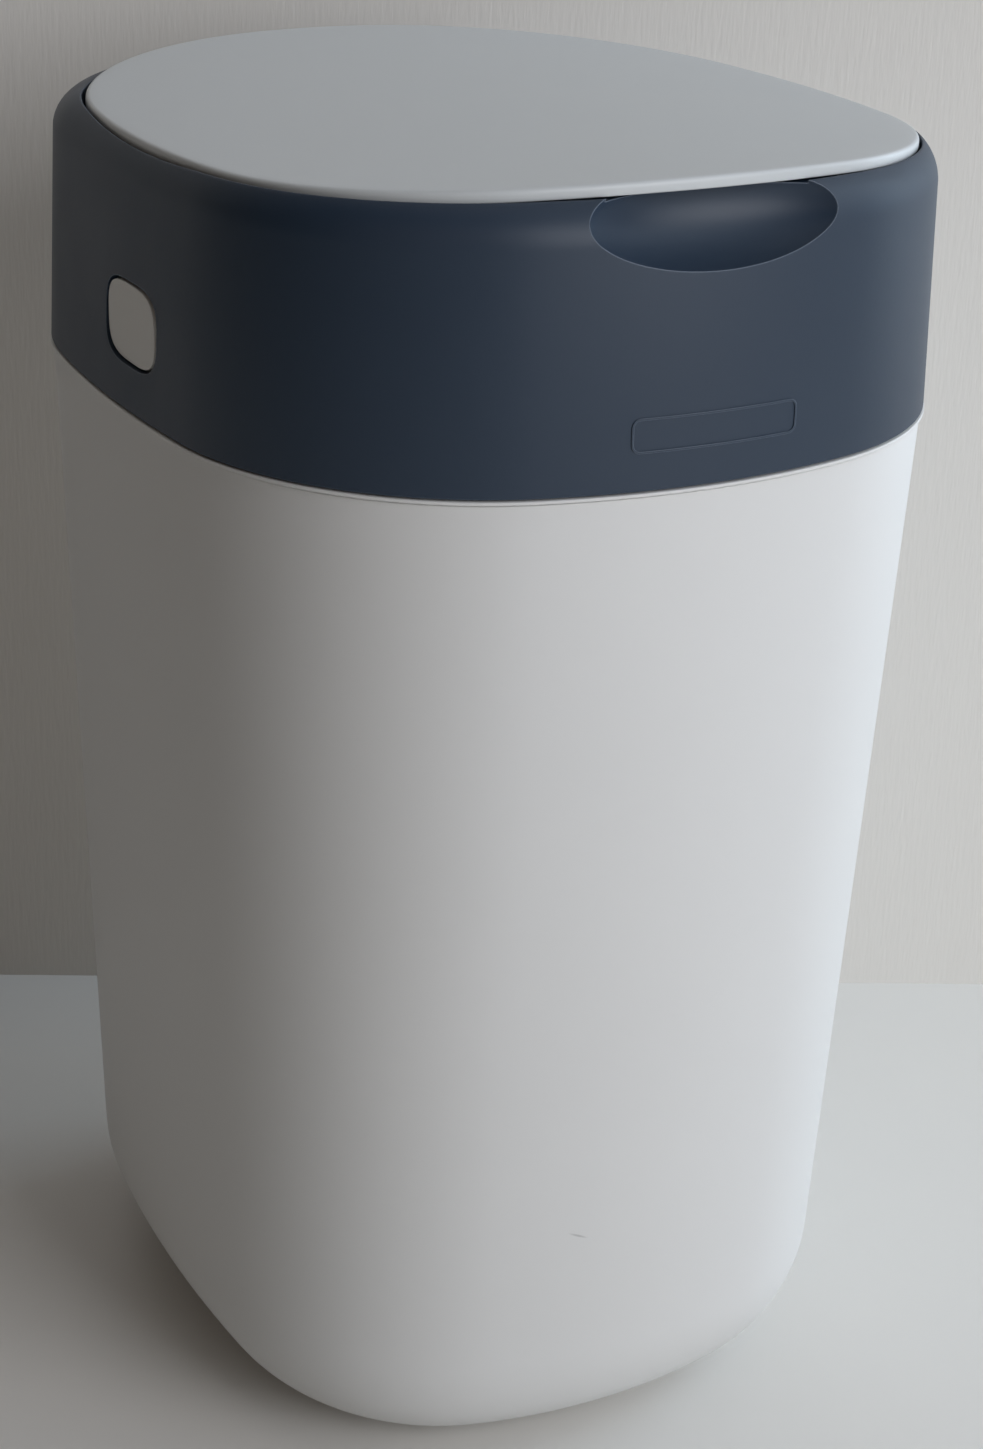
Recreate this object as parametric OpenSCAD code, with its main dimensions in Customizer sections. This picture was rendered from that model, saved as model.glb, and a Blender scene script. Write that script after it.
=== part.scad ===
/* [Overall form] */
// half width of the collar at its shoulder
half_width = 122; // [118:0.5:126]
// half depth of the collar at its shoulder
half_depth = 139.5; // [136:0.5:143]
// radius of the front and back faces in plan
end_radius = 204; // [196:1:212]
// radius of the side faces in plan
side_radius = 514; // [480:1:550]
// plan corner radius
corner_radius = 93; // [92:0.25:95]
// how far the widest line lies ahead of the middle
widest_line = 4.5; // [2:0.5:7]

/* [Tub] */
// height of the collar's lower edge above the floor
split_height = 342.5; // [330:0.5:350]
// how far the tub wall is set in at floor level
tub_inset = 11.5; // [9:0.5:15]
// radius of the rounded foot of the tub
foot_radius = 48; // [40:1:50]
// wall thickness of the tub
tub_wall = 2.5; // [2:0.1:3]
// height of the neck that stands up inside the collar
neck_height = 54; // [48:1:56]
// rise of the floor plate inside the foot ring
base_rise = 3; // [2:0.5:5]

/* [Collar] */
// height from the split to the start of the shoulder
collar_wall_height = 67.5; // [62:0.5:72]
// radius of the rounded shoulder
shoulder_radius = 15; // [14:0.25:15.5]
// outward lean of the collar at its lower edge
collar_flare = 2.3; // [1.5:0.1:2.6]
// wall thickness of the collar
collar_wall = 2.5; // [2.2:0.1:2.8]
// half width of the finger scoop at the front
scoop_half_width = 43.2; // [38:0.2:45]
// depth of the finger scoop
scoop_depth = 20; // [16:0.5:20]
// half height of the finger scoop
scoop_half_height = 16.2; // [13:0.2:16.2]
// width of the raised plaque outline
plaque_width = 54; // [40:1:64]
// height of the raised plaque outline
plaque_height = 10; // [8:0.5:14]

/* [Lid] */
// gap between the lid edge and the collar
lid_gap = 1; // [0.6:0.1:1.4]
// height of the lid crown above the shoulder top
lid_crown = 1.5; // [1:0.1:2.5]
// radius of the crown across the lid
crown_radius = 1500; // [1300:50:1800]
// thickness of the lid plate
lid_plate = 3.5; // [3:0.1:3.8]
// distance from the hinge axis to the rear edge of the lid
hinge_setback = 8.5; // [8:0.5:9]

/* [Latch windows] */
// width of the window in each side
window_width = 40.4; // [36:0.2:41]
// height of the window in each side
window_height = 24.4; // [20:0.2:26]
// corner radius of the window
window_corner = 7; // [4:0.5:9]
// gap between the press pad and its window
pad_gap = 1; // [0.6:0.1:1.5]

/* [Twist mechanism] */
// outer radius of the twist ring
ring_radius = 97; // [92:0.5:99]
// radius of the throat through the ring
throat_radius = 62; // [58:0.5:63]
// scallops round the twist ring
grip_count = 24; // [16:2:32]
// teeth round the cassette tray
tooth_count = 36; // [24:4:48]
// downward slope of each clamp petal
petal_slope = 20; // [15:1:25]

/* [Fits] */
// running clearance between parts that turn
run_gap = 0.3; // [0.3:0.05:0.5]
// running clearance on a pin, on the radius
pin_gap = 0.05; // [0.03:0.01:0.08]

/* [Hidden] */
$fn = 72;

white = "#d9d8d4";
navy = "#36404c";
lid_grey = "#c9cbcb";
inner_grey = "#8d949b";
steel = "#b5b8ba";
film_blue = "#b9cddb";

// the corner sweeps run this far into their neighbours, in degrees
lap = 0.8;
// and the long faces stand this proud of the corners, so that each seam is a clean step
seam_step = 0.04;
eps = 0.01;

// heights
shoulder_start = split_height + collar_wall_height;
shoulder_top = shoulder_start + shoulder_radius;
deck_top = shoulder_start - 6;
deck_plate = 3;
deck_under = deck_top - deck_plate;
crown_top = shoulder_top + lid_crown;
lid_under = crown_top - lid_plate;
inner_depth = 8.5;
lid_inner_under = lid_under - inner_depth;
seal_height = 2.5;
ring_top = lid_inner_under - seal_height - 0.5;

// circle to circle intersection
function circ_int(c1, r1, c2, r2, s) =
  let (d = c2 - c1, L = norm(d), a = (r1 * r1 - r2 * r2 + L * L) / (2 * L))
  c1 + a * d / L + s * sqrt(r1 * r1 - a * a) * [-d[1], d[0]] / L;
function higher(p, q) = p[1] > q[1] ? p : q;
function lower(p, q) = p[1] < q[1] ? p : q;
function bearing(c, k) = atan2(k[1] - c[1], k[0] - c[0]);

// outline made of eight arcs that flow into one another:
// each entry is centre, radius, start angle, end angle
function outline(hw, front, back, mid, rf, rs, rb, cf, cb) =
  let (pf = [0, front + rf], pb = [0, back - rb], ps = [hw - rs, mid])
  let (kf = lower(circ_int(pf, rf - cf, ps, rs - cf, 1), circ_int(pf, rf - cf, ps, rs - cf, -1)))
  let (kb = higher(circ_int(pb, rb - cb, ps, rs - cb, 1), circ_int(pb, rb - cb, ps, rs - cb, -1)))
  [[kf, cf, bearing(pf, kf), bearing(ps, kf)],
   [ps, rs, bearing(ps, kf), bearing(ps, kb)],
   [kb, cb, bearing(ps, kb), bearing(pb, kb)],
   [pf, rf, -180 - bearing(pf, kf), bearing(pf, kf)],
   [pb, rb, bearing(pb, kb), 180 - bearing(pb, kb)]];

body_line = outline(half_width, -half_depth, half_depth, -widest_line,
  end_radius, side_radius, end_radius, corner_radius, corner_radius);

// the opening in the collar top and the lid that lies in it
mouth_side = 3.7;
mouth_front = 7.3;
mouth_back = 8;
mouth_front_radius = end_radius;
mouth_side_radius = 306;
mouth_back_radius = end_radius - 13;
mouth_front_corner = corner_radius - 6.4;
mouth_back_corner = 109;
lid_back = mouth_back + lid_gap + 3.5;
mouth_line = outline(half_width - mouth_side, -half_depth + mouth_front, half_depth - mouth_back,
  -widest_line - 3.5, mouth_front_radius, mouth_side_radius, mouth_back_radius,
  mouth_front_corner, mouth_back_corner);
lid_line = outline(half_width - mouth_side - lid_gap, -half_depth + mouth_front + lid_gap,
  half_depth - lid_back, -widest_line - 3.5, mouth_front_radius - lid_gap,
  mouth_side_radius - lid_gap, mouth_back_radius - lid_gap, mouth_front_corner - lid_gap,
  mouth_back_corner - lid_gap);

// one arc of an outline, swept with a profile drawn outward from zero
module sweep_arc(arc, over, proud) {
  translate([arc[0][0], arc[0][1], 0])
    rotate([0, 0, arc[2] - over])
      rotate_extrude(angle = arc[3] - arc[2] + 2 * over, $fn = 150)
        translate([arc[1] + proud, 0])
          children();
}

module sweep_half(line) {
  sweep_arc(line[0], lap, 0) children();
  sweep_arc(line[1], 0, seam_step) children();
  sweep_arc(line[2], lap, 0) children();
}

module sweep(line) {
  sweep_half(line) children();
  mirror([1, 0, 0]) sweep_half(line) children();
  sweep_arc(line[3], 0, seam_step) children();
  sweep_arc(line[4], 0, seam_step) children();
}

// points along an outline set in by d, all the way round
function arc_points(c, r, a0, a1, n) = [for (i = [0:n - 1]) let (a = a0 + (a1 - a0) * i / n) c + r * [cos(a), sin(a)]];
function right_points(line, d) = concat(
  arc_points(line[3][0], line[3][1] - d, -90, line[3][3], 6),
  arc_points(line[0][0], line[0][1] - d, line[0][2], line[0][3], 14),
  arc_points(line[1][0], line[1][1] - d, line[1][2], line[1][3], 5),
  arc_points(line[2][0], line[2][1] - d, line[2][2], line[2][3], 14),
  arc_points(line[4][0], line[4][1] - d, line[4][2], 90, 6));
function outline_points(line, d) =
  let (r = right_points(line, d), n = len(r))
  concat(r, [[0, line[4][0][1] + line[4][1] - d]], [for (i = [n - 1:-1:1]) [-r[i][0], r[i][1]]]);

// solid plate with the outline set in by a distance
module plate(line, inset, z0, z1) {
  translate([0, 0, z0])
    linear_extrude(z1 - z0)
      polygon(outline_points(line, inset));
}

module tube(r_out, r_in, z0, z1) {
  translate([0, 0, z0])
    difference() {
      cylinder(h = z1 - z0, r = r_out);
      translate([0, 0, -1]) cylinder(h = z1 - z0 + 2, r = r_in);
    }
}

module rod(r, z0, z1) {
  translate([0, 0, z0]) cylinder(h = z1 - z0, r = r);
}

module rod_x(r, x0, x1) {
  translate([x0, 0, 0]) rotate([0, 90, 0]) cylinder(h = x1 - x0, r = r);
}

module rod_y(r, y0, y1) {
  translate([0, y0, 0]) rotate([-90, 0, 0]) cylinder(h = y1 - y0, r = r);
}

module block(x0, x1, y0, y1, z0, z1) {
  translate([x0, y0, z0]) cube([x1 - x0, y1 - y0, z1 - z0]);
}

// pan head screw, point up, with its head seated at z = 0
module screw(shank_r, head_r, head_h, length) {
  rod(head_r, -head_h, 0);
  rod(shank_r, -eps, length);
}

// ---------- tub ----------
ledge_out = collar_flare - 0.75;
neck_out = collar_flare - collar_wall - 0.4;
neck_lean = collar_flare * neck_height / collar_wall_height;
neck_top = split_height + neck_height;
tub_slope = (tub_inset + ledge_out) / split_height;
ledge_height = split_height - 0.5;
foot_ring_in = 64;
floor_edge = 40;
function tub_edge(z) = -tub_inset + tub_slope * z;
foot_lift = foot_radius * tub_slope;
foot_x = tub_edge(foot_radius - foot_lift) - foot_radius;
foot_ring = 8;

function tub_profile(set_in, floor_z) = concat(
  arc_points([foot_x, foot_radius], foot_radius - set_in, floor_angle(set_in, floor_z),
    -asin(foot_lift / foot_radius), 10),
  [[tub_edge(foot_radius - foot_lift) - set_in, foot_radius - foot_lift],
   [tub_edge(ledge_height - 2 * set_in) - set_in, ledge_height - 2 * set_in]]);
function floor_angle(set_in, floor_z) =
  -90 + (floor_z > set_in ? acos((foot_radius - floor_z) / (foot_radius - set_in)) : 0);

module tub_section() {
  difference() {
    polygon(concat([[-69, base_rise], [foot_x - foot_ring, base_rise], [foot_x - foot_ring, 0]],
      tub_profile(0, 0),
      [[neck_out, ledge_height], [neck_out - neck_lean, neck_top], [-69, neck_top]]));
    polygon(concat([[-72, base_rise + tub_wall]],
      tub_profile(tub_wall, base_rise + tub_wall),
      [[neck_out - tub_wall, ledge_height + 1], [neck_out - neck_lean - tub_wall, neck_top + 1],
       [-72, neck_top + 1]]));
  }
}

module tub() {
  color(white)
  difference() {
    union() {
      difference() {
        union() {
          sweep(body_line) tub_section();
          plate(body_line, foot_ring_in, base_rise - 0.5, base_rise + 2);
          plate(body_line, floor_edge, base_rise + 1, base_rise + tub_wall + 0.5);
        }
        for (s = [-1, 1])
          block(s * (half_width - 2) - 6, s * (half_width - 2) + 6, latch_y - slot_half,
            latch_y + slot_half, latch_pivot_z - 4, neck_top + 2);
      }
      for (s = [-1, 1])
        for (t = [-1, 1])
          block(s * latch_pivot_x - (s > 0 ? 3 : 2), s * latch_pivot_x + (s > 0 ? 2 : 3),
            latch_y + t * (slot_half + lug_width / 2) - lug_width / 2,
            latch_y + t * (slot_half + lug_width / 2) + lug_width / 2,
            latch_pivot_z - 4.5, latch_pivot_z + 4.5);
    }
    for (s = [-1, 1])
      translate([s * latch_pivot_x, latch_y, latch_pivot_z])
        rod_y(latch_pin_r, -slot_half - lug_width - 1, slot_half + lug_width + 1);
  }
}

// ---------- latches ----------
latch_y = -14.7;
latch_rise = 27.2;
latch_z = split_height + latch_rise;
latch_pivot_x = half_width - 4.5;
latch_pivot_z = split_height + 7.5;
latch_pin_r = 1;
slot_half = 24.5;
lug_width = 5;
flange_half = 22.5;
flange_plate = 2;
pad_face = half_width + 0.8;

module rounded_slab(w, h, r, t) {
  linear_extrude(t)
    rounded_face(w, h, r);
}

module rounded_face(w, h, r) {
  square([w - 2 * r, h], center = true);
  square([w, h - 2 * r], center = true);
  for (s = [-1, 1])
    for (t = [-1, 1])
      translate([s * (w / 2 - r), t * (h / 2 - r)])
        circle(r);
}

// a slab standing on the right side wall, facing outward
module side_slab(w, h, r, x0, x1) {
  translate([x0, latch_y, latch_z])
    rotate([90, 0, 90])
      rounded_slab(w, h, r, x1 - x0);
}

module latch() {
  difference() {
    union() {
      block(latch_pivot_x - flange_plate / 2, latch_pivot_x + flange_plate / 2,
        latch_y - flange_half, latch_y + flange_half, latch_pivot_z, latch_z + window_height / 2 + 4);
      side_slab(window_width - 2 * pad_gap, window_height - 2 * pad_gap, window_corner - pad_gap,
        latch_pivot_x, pad_face);
      translate([latch_pivot_x, latch_y, latch_pivot_z])
        rod_y(2.6, -flange_half, flange_half);
    }
    translate([latch_pivot_x, latch_y, latch_pivot_z])
      rod_y(latch_pin_r + pin_gap, -flange_half - 1, flange_half + 1);
    block(latch_pivot_x - 6, latch_pivot_x + 6, latch_y - 5, latch_y + 5,
      latch_pivot_z - 4, latch_pivot_z + 4);
  }
}

module latch_right() {
  color(white) latch();
}

module latch_left() {
  color(white) mirror([1, 0, 0]) latch();
}

module latch_pins() {
  color(steel)
  for (s = [-1, 1])
    translate([s * latch_pivot_x, latch_y, latch_pivot_z])
      rod_y(latch_pin_r, -slot_half - lug_width, slot_half + lug_width);
}

// close wound coil with its axis along z, centred on z = 0
module coil(radius, wire, turns) {
  rotate_extrude() {
    for (i = [0:turns - 1])
      translate([radius, (i - (turns - 1) / 2) * wire * 1.9])
        circle(wire, $fn = 24);
    translate([radius - wire / 3, -(turns - 1) * wire * 0.95])
      square([wire * 2 / 3, (turns - 1) * wire * 1.9]);
  }
}

module latch_springs() {
  color(steel)
  for (s = [-1, 1])
    translate([s * latch_pivot_x, latch_y, latch_pivot_z])
      union() {
        rotate([90, 0, 0]) coil(2, 0.5, 7);
        translate([-s * 2, 2.85, 0]) rod(0.45, 0, 3.4);
        translate([-s * 2, -2.85, 0]) rod(0.45, -4.4, 0);
      }
}

// ---------- collar ----------
mouth_floor = deck_top - 1;
scoop_y = -half_depth - 3;
scoop_z = shoulder_start + 8.5;
scoop_floor = scoop_z - scoop_half_height - 2.7;
front_block_half = 60;
front_block_back = half_depth - 24;
front_block_top = lid_inner_under - 1;
lid_rest = 1;
cup_half = 36;
cup_back = half_depth - 10.5;
deck_screw_front = [52, -(half_depth - 18)];
deck_screw_back = [70, half_depth - 21];
hinge_y = half_depth - lid_back - hinge_setback;
hinge_z = lid_under + 0.1;
hinge_r = 1.8;
hinge_pin_r = 0.8;
knuckle_in = 14;
knuckle_out = 30;
post_width = 5;
post_gap = 0.7;
pocket_gap = 0.4;
post_inner = knuckle_in - post_gap - post_width;
post_outer = knuckle_out + post_gap;
plaque_z = split_height + 16;
plaque_raise = 0.35;
function collar_edge(z) = collar_flare * (shoulder_start - z) / collar_wall_height;

// how far a cutting shape reaches either way from the middle, clear of every wall
cut_reach = half_width + half_depth;

// everything under the crown of the lid lowered by a drop, down to z0
module dome_face(drop, z0) {
  intersection() {
    translate([0, crown_top - drop - crown_radius]) circle(crown_radius, $fn = 720);
    translate([-cut_reach, z0]) square([2 * cut_reach, crown_top + 5 - z0]);
  }
}

module dome_space(drop, z0) {
  rotate([90, 0, 0])
    linear_extrude(2 * cut_reach, center = true)
      dome_face(drop, z0);
}

module dome_sheet(thickness) {
  rotate([90, 0, 0])
    linear_extrude(2 * cut_reach, center = true)
      difference() {
        dome_face(0, lid_under - 10);
        dome_face(thickness, lid_under - 12);
      }
}

module collar_wall_profile() {
  polygon(concat(
    [[collar_flare - collar_wall, split_height], [collar_flare, split_height]],
    arc_points([-shoulder_radius, shoulder_start], shoulder_radius, 0, 90, 10),
    [[-shoulder_radius, shoulder_top], [-shoulder_radius, deck_top],
     [collar_edge(deck_top) - collar_wall, deck_top]]));
}

module scoop(grow) {
  translate([0, scoop_y, scoop_z])
    scale([(scoop_half_width + grow) / scoop_depth, 1 + grow / scoop_depth,
        (scoop_half_height + grow) / scoop_depth])
      sphere(scoop_depth);
}

module collar() {
  color(navy)
  difference() {
    union() {
      intersection() {
        union() {
          difference() {
            sweep(body_line) collar_wall_profile();
            plate(mouth_line, 0, mouth_floor, shoulder_top + 5);
          }
          intersection() {
            plate(body_line, 1.2, deck_top - 5, front_block_top);
            union() {
              block(-front_block_half, front_block_half, -half_depth, -front_block_back,
                deck_top, front_block_top);
              block(-cup_half, cup_half, -half_depth, -cup_back, scoop_floor, deck_top + 1);
            }
          }
          intersection() {
            plate(body_line, mouth_front - 0.9, front_block_top - 1, lid_under);
            block(-front_block_half, front_block_half, -half_depth, -front_block_back,
              front_block_top - 2, crown_top);
            dome_space(lid_plate + lid_rest, front_block_top - 5);
          }
        }
        dome_space(0, split_height - 5);
      }
      intersection() {
        sweep_arc(body_line[3], 0, seam_step)
          polygon([[0.5, plaque_z - 8], [collar_edge(plaque_z - 8) + plaque_raise, plaque_z - 8],
            [collar_edge(plaque_z + 8) + plaque_raise, plaque_z + 8], [0.5, plaque_z + 8]]);
        translate([0, -half_depth + 6, plaque_z])
          rotate([90, 0, 0])
            linear_extrude(14)
              difference() {
                rounded_face(plaque_width, plaque_height, 2);
                rounded_face(plaque_width - 1.6, plaque_height - 1.6, 1.2);
              }
      }
    }
    scoop(0);
    for (s = [-1, 1])
      mirror([s > 0 ? 0 : 1, 0, 0])
        side_slab(window_width, window_height, window_corner, half_width - 8, half_width + 8);
    for (s = [-1, 1])
      for (p = [deck_screw_front, deck_screw_back])
        translate([s * p[0], p[1], 0]) rod(1.25, deck_top - 1, deck_top + 8);
  }
}

module hinge_pins() {
  color(steel)
  for (s = [-1, 1])
    translate([0, hinge_y, hinge_z])
      rod_x(hinge_pin_r, s > 0 ? post_inner + 0.5 : -post_outer - post_width + 0.5,
        s > 0 ? post_outer + post_width - 0.5 : -post_inner - 0.5);
}

// ---------- deck ----------
deck_hole = 84;
drum_out = 105.5;
drum_in = 103;
drum_screw_r = 109;
pawl_at = 60;
pawl_pivot = 98;
pawl_pin_r = 1.5;

// upright cheek that carries the hinge pin, with a gusset at its foot
module hinge_post(x0) {
  block(x0, x0 + post_width, hinge_y - 4, hinge_y + hinge_r, deck_top - 1, hinge_z - 1);
  block(x0 + 1, x0 + post_width - 1, hinge_y - 9, hinge_y, deck_top - 1, deck_top + 8);
  translate([0, hinge_y, hinge_z]) rod_x(hinge_r, x0, x0 + post_width);
}

module deck() {
  color(inner_grey)
  difference() {
    union() {
      plate(body_line, collar_wall + 0.15, deck_under, deck_top);
      for (x = [post_inner, post_outer, -post_inner - post_width, -post_outer - post_width])
        hinge_post(x);
      tube(ring_radius + 4, ring_radius + 1.5, deck_top - 1, deck_top + 2.5);
      for (a = [45:90:315])
        rotate([0, 0, a]) translate([drum_screw_r, 0, 0]) rod(4, deck_top - 1, deck_top + 5);
    }
    rod(deck_hole, deck_under - 1, deck_top + 1);
    block(-cup_half - 0.6, cup_half + 0.6, -half_depth - 5, -cup_back + 0.6,
      deck_under - 1, deck_top + 1);
    for (s = [-1, 1])
      for (p = [deck_screw_front, deck_screw_back])
        translate([s * p[0], p[1], 0]) rod(1.8, deck_under - 1, deck_top + 1);
    for (a = [45:90:315])
      rotate([0, 0, a]) translate([drum_screw_r, 0, 0]) rod(1.25, deck_under - 1, deck_top + 3.5);
    rotate([0, 0, pawl_at]) translate([pawl_pivot, 0, 0]) rod(pawl_pin_r, deck_under - 1, deck_top - 0.8);
    translate([0, hinge_y, hinge_z]) rod_x(hinge_pin_r, -post_outer - 20, post_outer + 20);
  }
}

module deck_screws() {
  color(steel)
  for (s = [-1, 1])
    for (p = [deck_screw_front, deck_screw_back])
      translate([s * p[0], p[1], deck_under]) screw(1.25, 2.8, 1.8, 10);
}

// ---------- clamp drum and petals ----------
drum_depth = 61;
drum_floor = deck_under - drum_depth;
petal_hinge_r = 62;
petal_hinge_z = drum_floor - 4;
petal_barrel = 3;
petal_pin_r = 1.25;
petal_plate = 2;
petal_half = 38;
petal_length = 62;
lug_in = 30.4;
lug_out = 35;

module clamp_drum() {
  color(inner_grey)
  difference() {
    union() {
      tube(drum_out, drum_in, drum_floor, deck_under);
      tube(drum_out, petal_hinge_r + 4, drum_floor, drum_floor + 3);
      for (a = [45:90:315])
        rotate([0, 0, a])
          difference() {
            translate([drum_screw_r, 0, 0]) rod(5, deck_under - 3, deck_under);
            rod(drum_in + 1, deck_under - 4, deck_under + 1);
          }
      for (a = [0:90:270])
        rotate([0, 0, a])
          for (s = [-1, 1])
            block(petal_hinge_r - 4, petal_hinge_r + 12, s > 0 ? lug_in : -lug_out,
              s > 0 ? lug_out : -lug_in, petal_hinge_z - 4, drum_floor + 1);
    }
    for (a = [45:90:315])
      rotate([0, 0, a]) translate([drum_screw_r, 0, 0]) rod(1.6, deck_under - 4, deck_under + 1);
    for (a = [0:90:270])
      rotate([0, 0, a])
        translate([petal_hinge_r, 0, petal_hinge_z])
          rod_y(petal_pin_r, -lug_out - 1, lug_out + 1);
    for (a = [0:30:330])
      rotate([0, 0, a + 15])
        translate([drum_out, 0, (drum_floor + deck_under) / 2])
          rotate([90, 0, 90])
            linear_extrude(8, center = true)
              rounded_face(24, 34, 6);
  }
}

module drum_screws() {
  color(steel)
  for (a = [45:90:315])
    rotate([0, 0, a]) translate([drum_screw_r, 0, deck_under - 3]) screw(1.25, 2.6, 1.8, 9);
}

module petal() {
  translate([petal_hinge_r, 0, petal_hinge_z])
    rotate([0, -petal_slope, 0])
      difference() {
        union() {
          translate([0, 0, -petal_plate / 2])
            linear_extrude(petal_plate)
              polygon([[0, -lug_in + 1.4], [0, lug_in - 1.4], [-6.5, lug_in - 1.4], [-10, petal_half - 4],
                [-24, petal_half - 4], [-petal_length + 1, 1.2], [-petal_length + 1, -1.2],
                [-24, -petal_half + 4], [-10, -petal_half + 4], [-6.5, -lug_in + 1.4]]);
          rod_y(petal_barrel, -lug_in + 1, lug_in - 1);
          translate([-12, 0, -petal_plate / 2 - 2])
            for (s = [-1, 0, 1])
              block(-24 + 8 * abs(s), 8, s * 12 - 0.8, s * 12 + 0.8, 0, 2.5);
        }
        rod_y(petal_pin_r + pin_gap, -lug_in - 1, lug_in + 1);
        block(-5, 5, -5, 5, -5, 5);
      }
}

module petal_right() {
  color(white) petal();
}

module petal_back() {
  color(white) rotate([0, 0, 90]) petal();
}

module petal_left() {
  color(white) rotate([0, 0, 180]) petal();
}

module petal_front() {
  color(white) rotate([0, 0, 270]) petal();
}

module petal_pins() {
  color(steel)
  for (a = [0:90:270])
    rotate([0, 0, a])
      translate([petal_hinge_r, 0, petal_hinge_z])
        rod_y(petal_pin_r, -lug_out, lug_out);
}

module petal_springs() {
  color(steel)
  for (a = [0:90:270])
    rotate([0, 0, a])
      translate([petal_hinge_r, 0, petal_hinge_z])
        union() {
          rotate([90, 0, 0]) coil(2.4, 0.6, 7);
          translate([2.4, 3.42, 0]) rod(0.55, 0, 4);
          translate([2.4, -3.42, 0]) rod(0.55, 0, 4);
        }
}

// ---------- twist ring ----------
ring_under = deck_top + run_gap;
ring_flange = 2.7;
hub_in = 77;
hub_out = 83;
hub_under = deck_under - run_gap;
tray_screw_r = 80.2;
handle_width = 12;

module twist_ring() {
  color(white)
  difference() {
    union() {
      tube(ring_radius, throat_radius, ring_under, ring_under + ring_flange);
      tube(throat_radius + 3, throat_radius, ring_under, ring_top);
      tube(ring_radius, ring_radius - 5, ring_under, ring_top - 0.8);
      tube(hub_out, hub_in, hub_under, ring_under + 1);
      for (a = [0, 180])
        rotate([0, 0, a])
          block(throat_radius + 2, ring_radius - 4, -handle_width / 2, handle_width / 2,
            ring_under + 1, ring_top - 0.8);
      for (a = [90, 270])
        rotate([0, 0, a])
          block(throat_radius + 2, ring_radius - 4, -1.2, 1.2, ring_under + 1, ring_top - 2.5);
    }
    for (i = [0:grip_count - 1])
      rotate([0, 0, (i + 0.5) * 360 / grip_count])
        translate([ring_radius + 2.2, 0, 0])
          rod(4.2, ring_under + ring_flange, ring_top + 1);
    for (a = [45:90:315])
      rotate([0, 0, a]) translate([tray_screw_r, 0, 0]) rod(1, hub_under - 1, hub_under + 5.2);
  }
}

// ---------- cassette tray and cassette ----------
tray_out = hub_in;
tray_in = tray_out - 2.2;
tray_flange = 2.5;
tray_floor = drum_floor + 10;
tooth_r = 91;
tooth_depth = 1.5;
cassette_out = tray_in - 0.5;
cassette_in = throat_radius - 4;
cassette_top = hub_under - 4;

module cassette_tray() {
  color(inner_grey)
  difference() {
    union() {
      tube(tray_out, tray_in, tray_floor, hub_under - 1);
      tube(tray_out, throat_radius + 2, tray_floor, tray_floor + 2.5);
      difference() {
        translate([0, 0, hub_under - tray_flange])
          linear_extrude(tray_flange)
            polygon([for (i = [0:2 * tooth_count - 1])
              let (a = 180 * i / tooth_count + (i % 2 == 0 ? 0 : 3.2),
                r = tooth_r - (i % 2 == 0 ? 0 : tooth_depth))
              r * [cos(a), sin(a)]]);
        rod(tray_in, hub_under - 5, hub_under + 1);
      }
    }
    for (a = [45:90:315])
      rotate([0, 0, a]) translate([tray_screw_r, 0, 0]) rod(1.4, hub_under - 4, hub_under + 1);
  }
}

module tray_screws() {
  color(steel)
  for (a = [45:90:315])
    rotate([0, 0, a])
      translate([tray_screw_r, 0, hub_under - tray_flange]) screw(1, 2.2, 1.5, 7);
}

module cassette_body() {
  color(white)
  union() {
    tube(cassette_out, cassette_out - 1.5, tray_floor + 2.5, cassette_top);
    tube(cassette_in + 1.5, cassette_in, tray_floor + 2.5, cassette_top - 5);
    tube(cassette_out, cassette_in, tray_floor + 2.5, tray_floor + 4.5);
  }
}

module cassette_cap() {
  color(inner_grey)
  rotate_extrude()
    polygon([[cassette_in + 3, cassette_top], [cassette_out, cassette_top],
      [cassette_out, cassette_top + 2], [cassette_in + 4, cassette_top + 3.5],
      [cassette_in - 0.5, cassette_top + 0.5], [cassette_in - 0.5, cassette_top - 3],
      [cassette_in + 3, cassette_top - 3]]);
}

module film_pack() {
  color(film_blue)
  translate([0, 0, tray_floor + 5])
    difference() {
      linear_extrude(cassette_top - tray_floor - 11)
        polygon([for (i = [0:71])
          (i % 2 == 0 ? cassette_out - 2 : cassette_out - 3.5) * [cos(5 * i), sin(5 * i)]]);
      translate([0, 0, -1]) cylinder(h = 80, r = cassette_in + 3.5);
    }
}

// ---------- click pawl ----------
pawl_top = hub_under - 0.3;
pawl_plate = 2.2;

module pawl() {
  color(white)
  rotate([0, 0, pawl_at])
    difference() {
      union() {
        translate([0, 0, pawl_top - pawl_plate])
          linear_extrude(pawl_plate)
            polygon([[pawl_pivot - 2, -2], [pawl_pivot + 2, -2], [pawl_pivot + 2.2, 3],
              [pawl_pivot - 5.5, 21.5], [pawl_pivot - 8.85, 20.2], [pawl_pivot - 2.5, 3]]);
        translate([pawl_pivot, 0, 0]) rod(3, pawl_top - pawl_plate, pawl_top);
      }
      translate([pawl_pivot, 0, 0]) rod(pawl_pin_r + pin_gap, pawl_top - 8, pawl_top + 1);
    }
}

module pawl_pin() {
  color(steel)
  rotate([0, 0, pawl_at])
    translate([pawl_pivot, 0, 0])
      union() {
        rod(pawl_pin_r, pawl_top - 8, deck_top - 0.8);
        rod(3, pawl_top - 9.2, pawl_top - 8);
      }
}

module pawl_spring() {
  color(steel)
  rotate([0, 0, pawl_at])
    translate([pawl_pivot, 0, pawl_top - pawl_plate - 0.8])
      union() {
        translate([0, 0, -1.4]) coil(2.3, 0.5, 4);
        translate([-2.3, 0, 0.02]) rod_y(0.45, 0, 12);
      }
}

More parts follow.
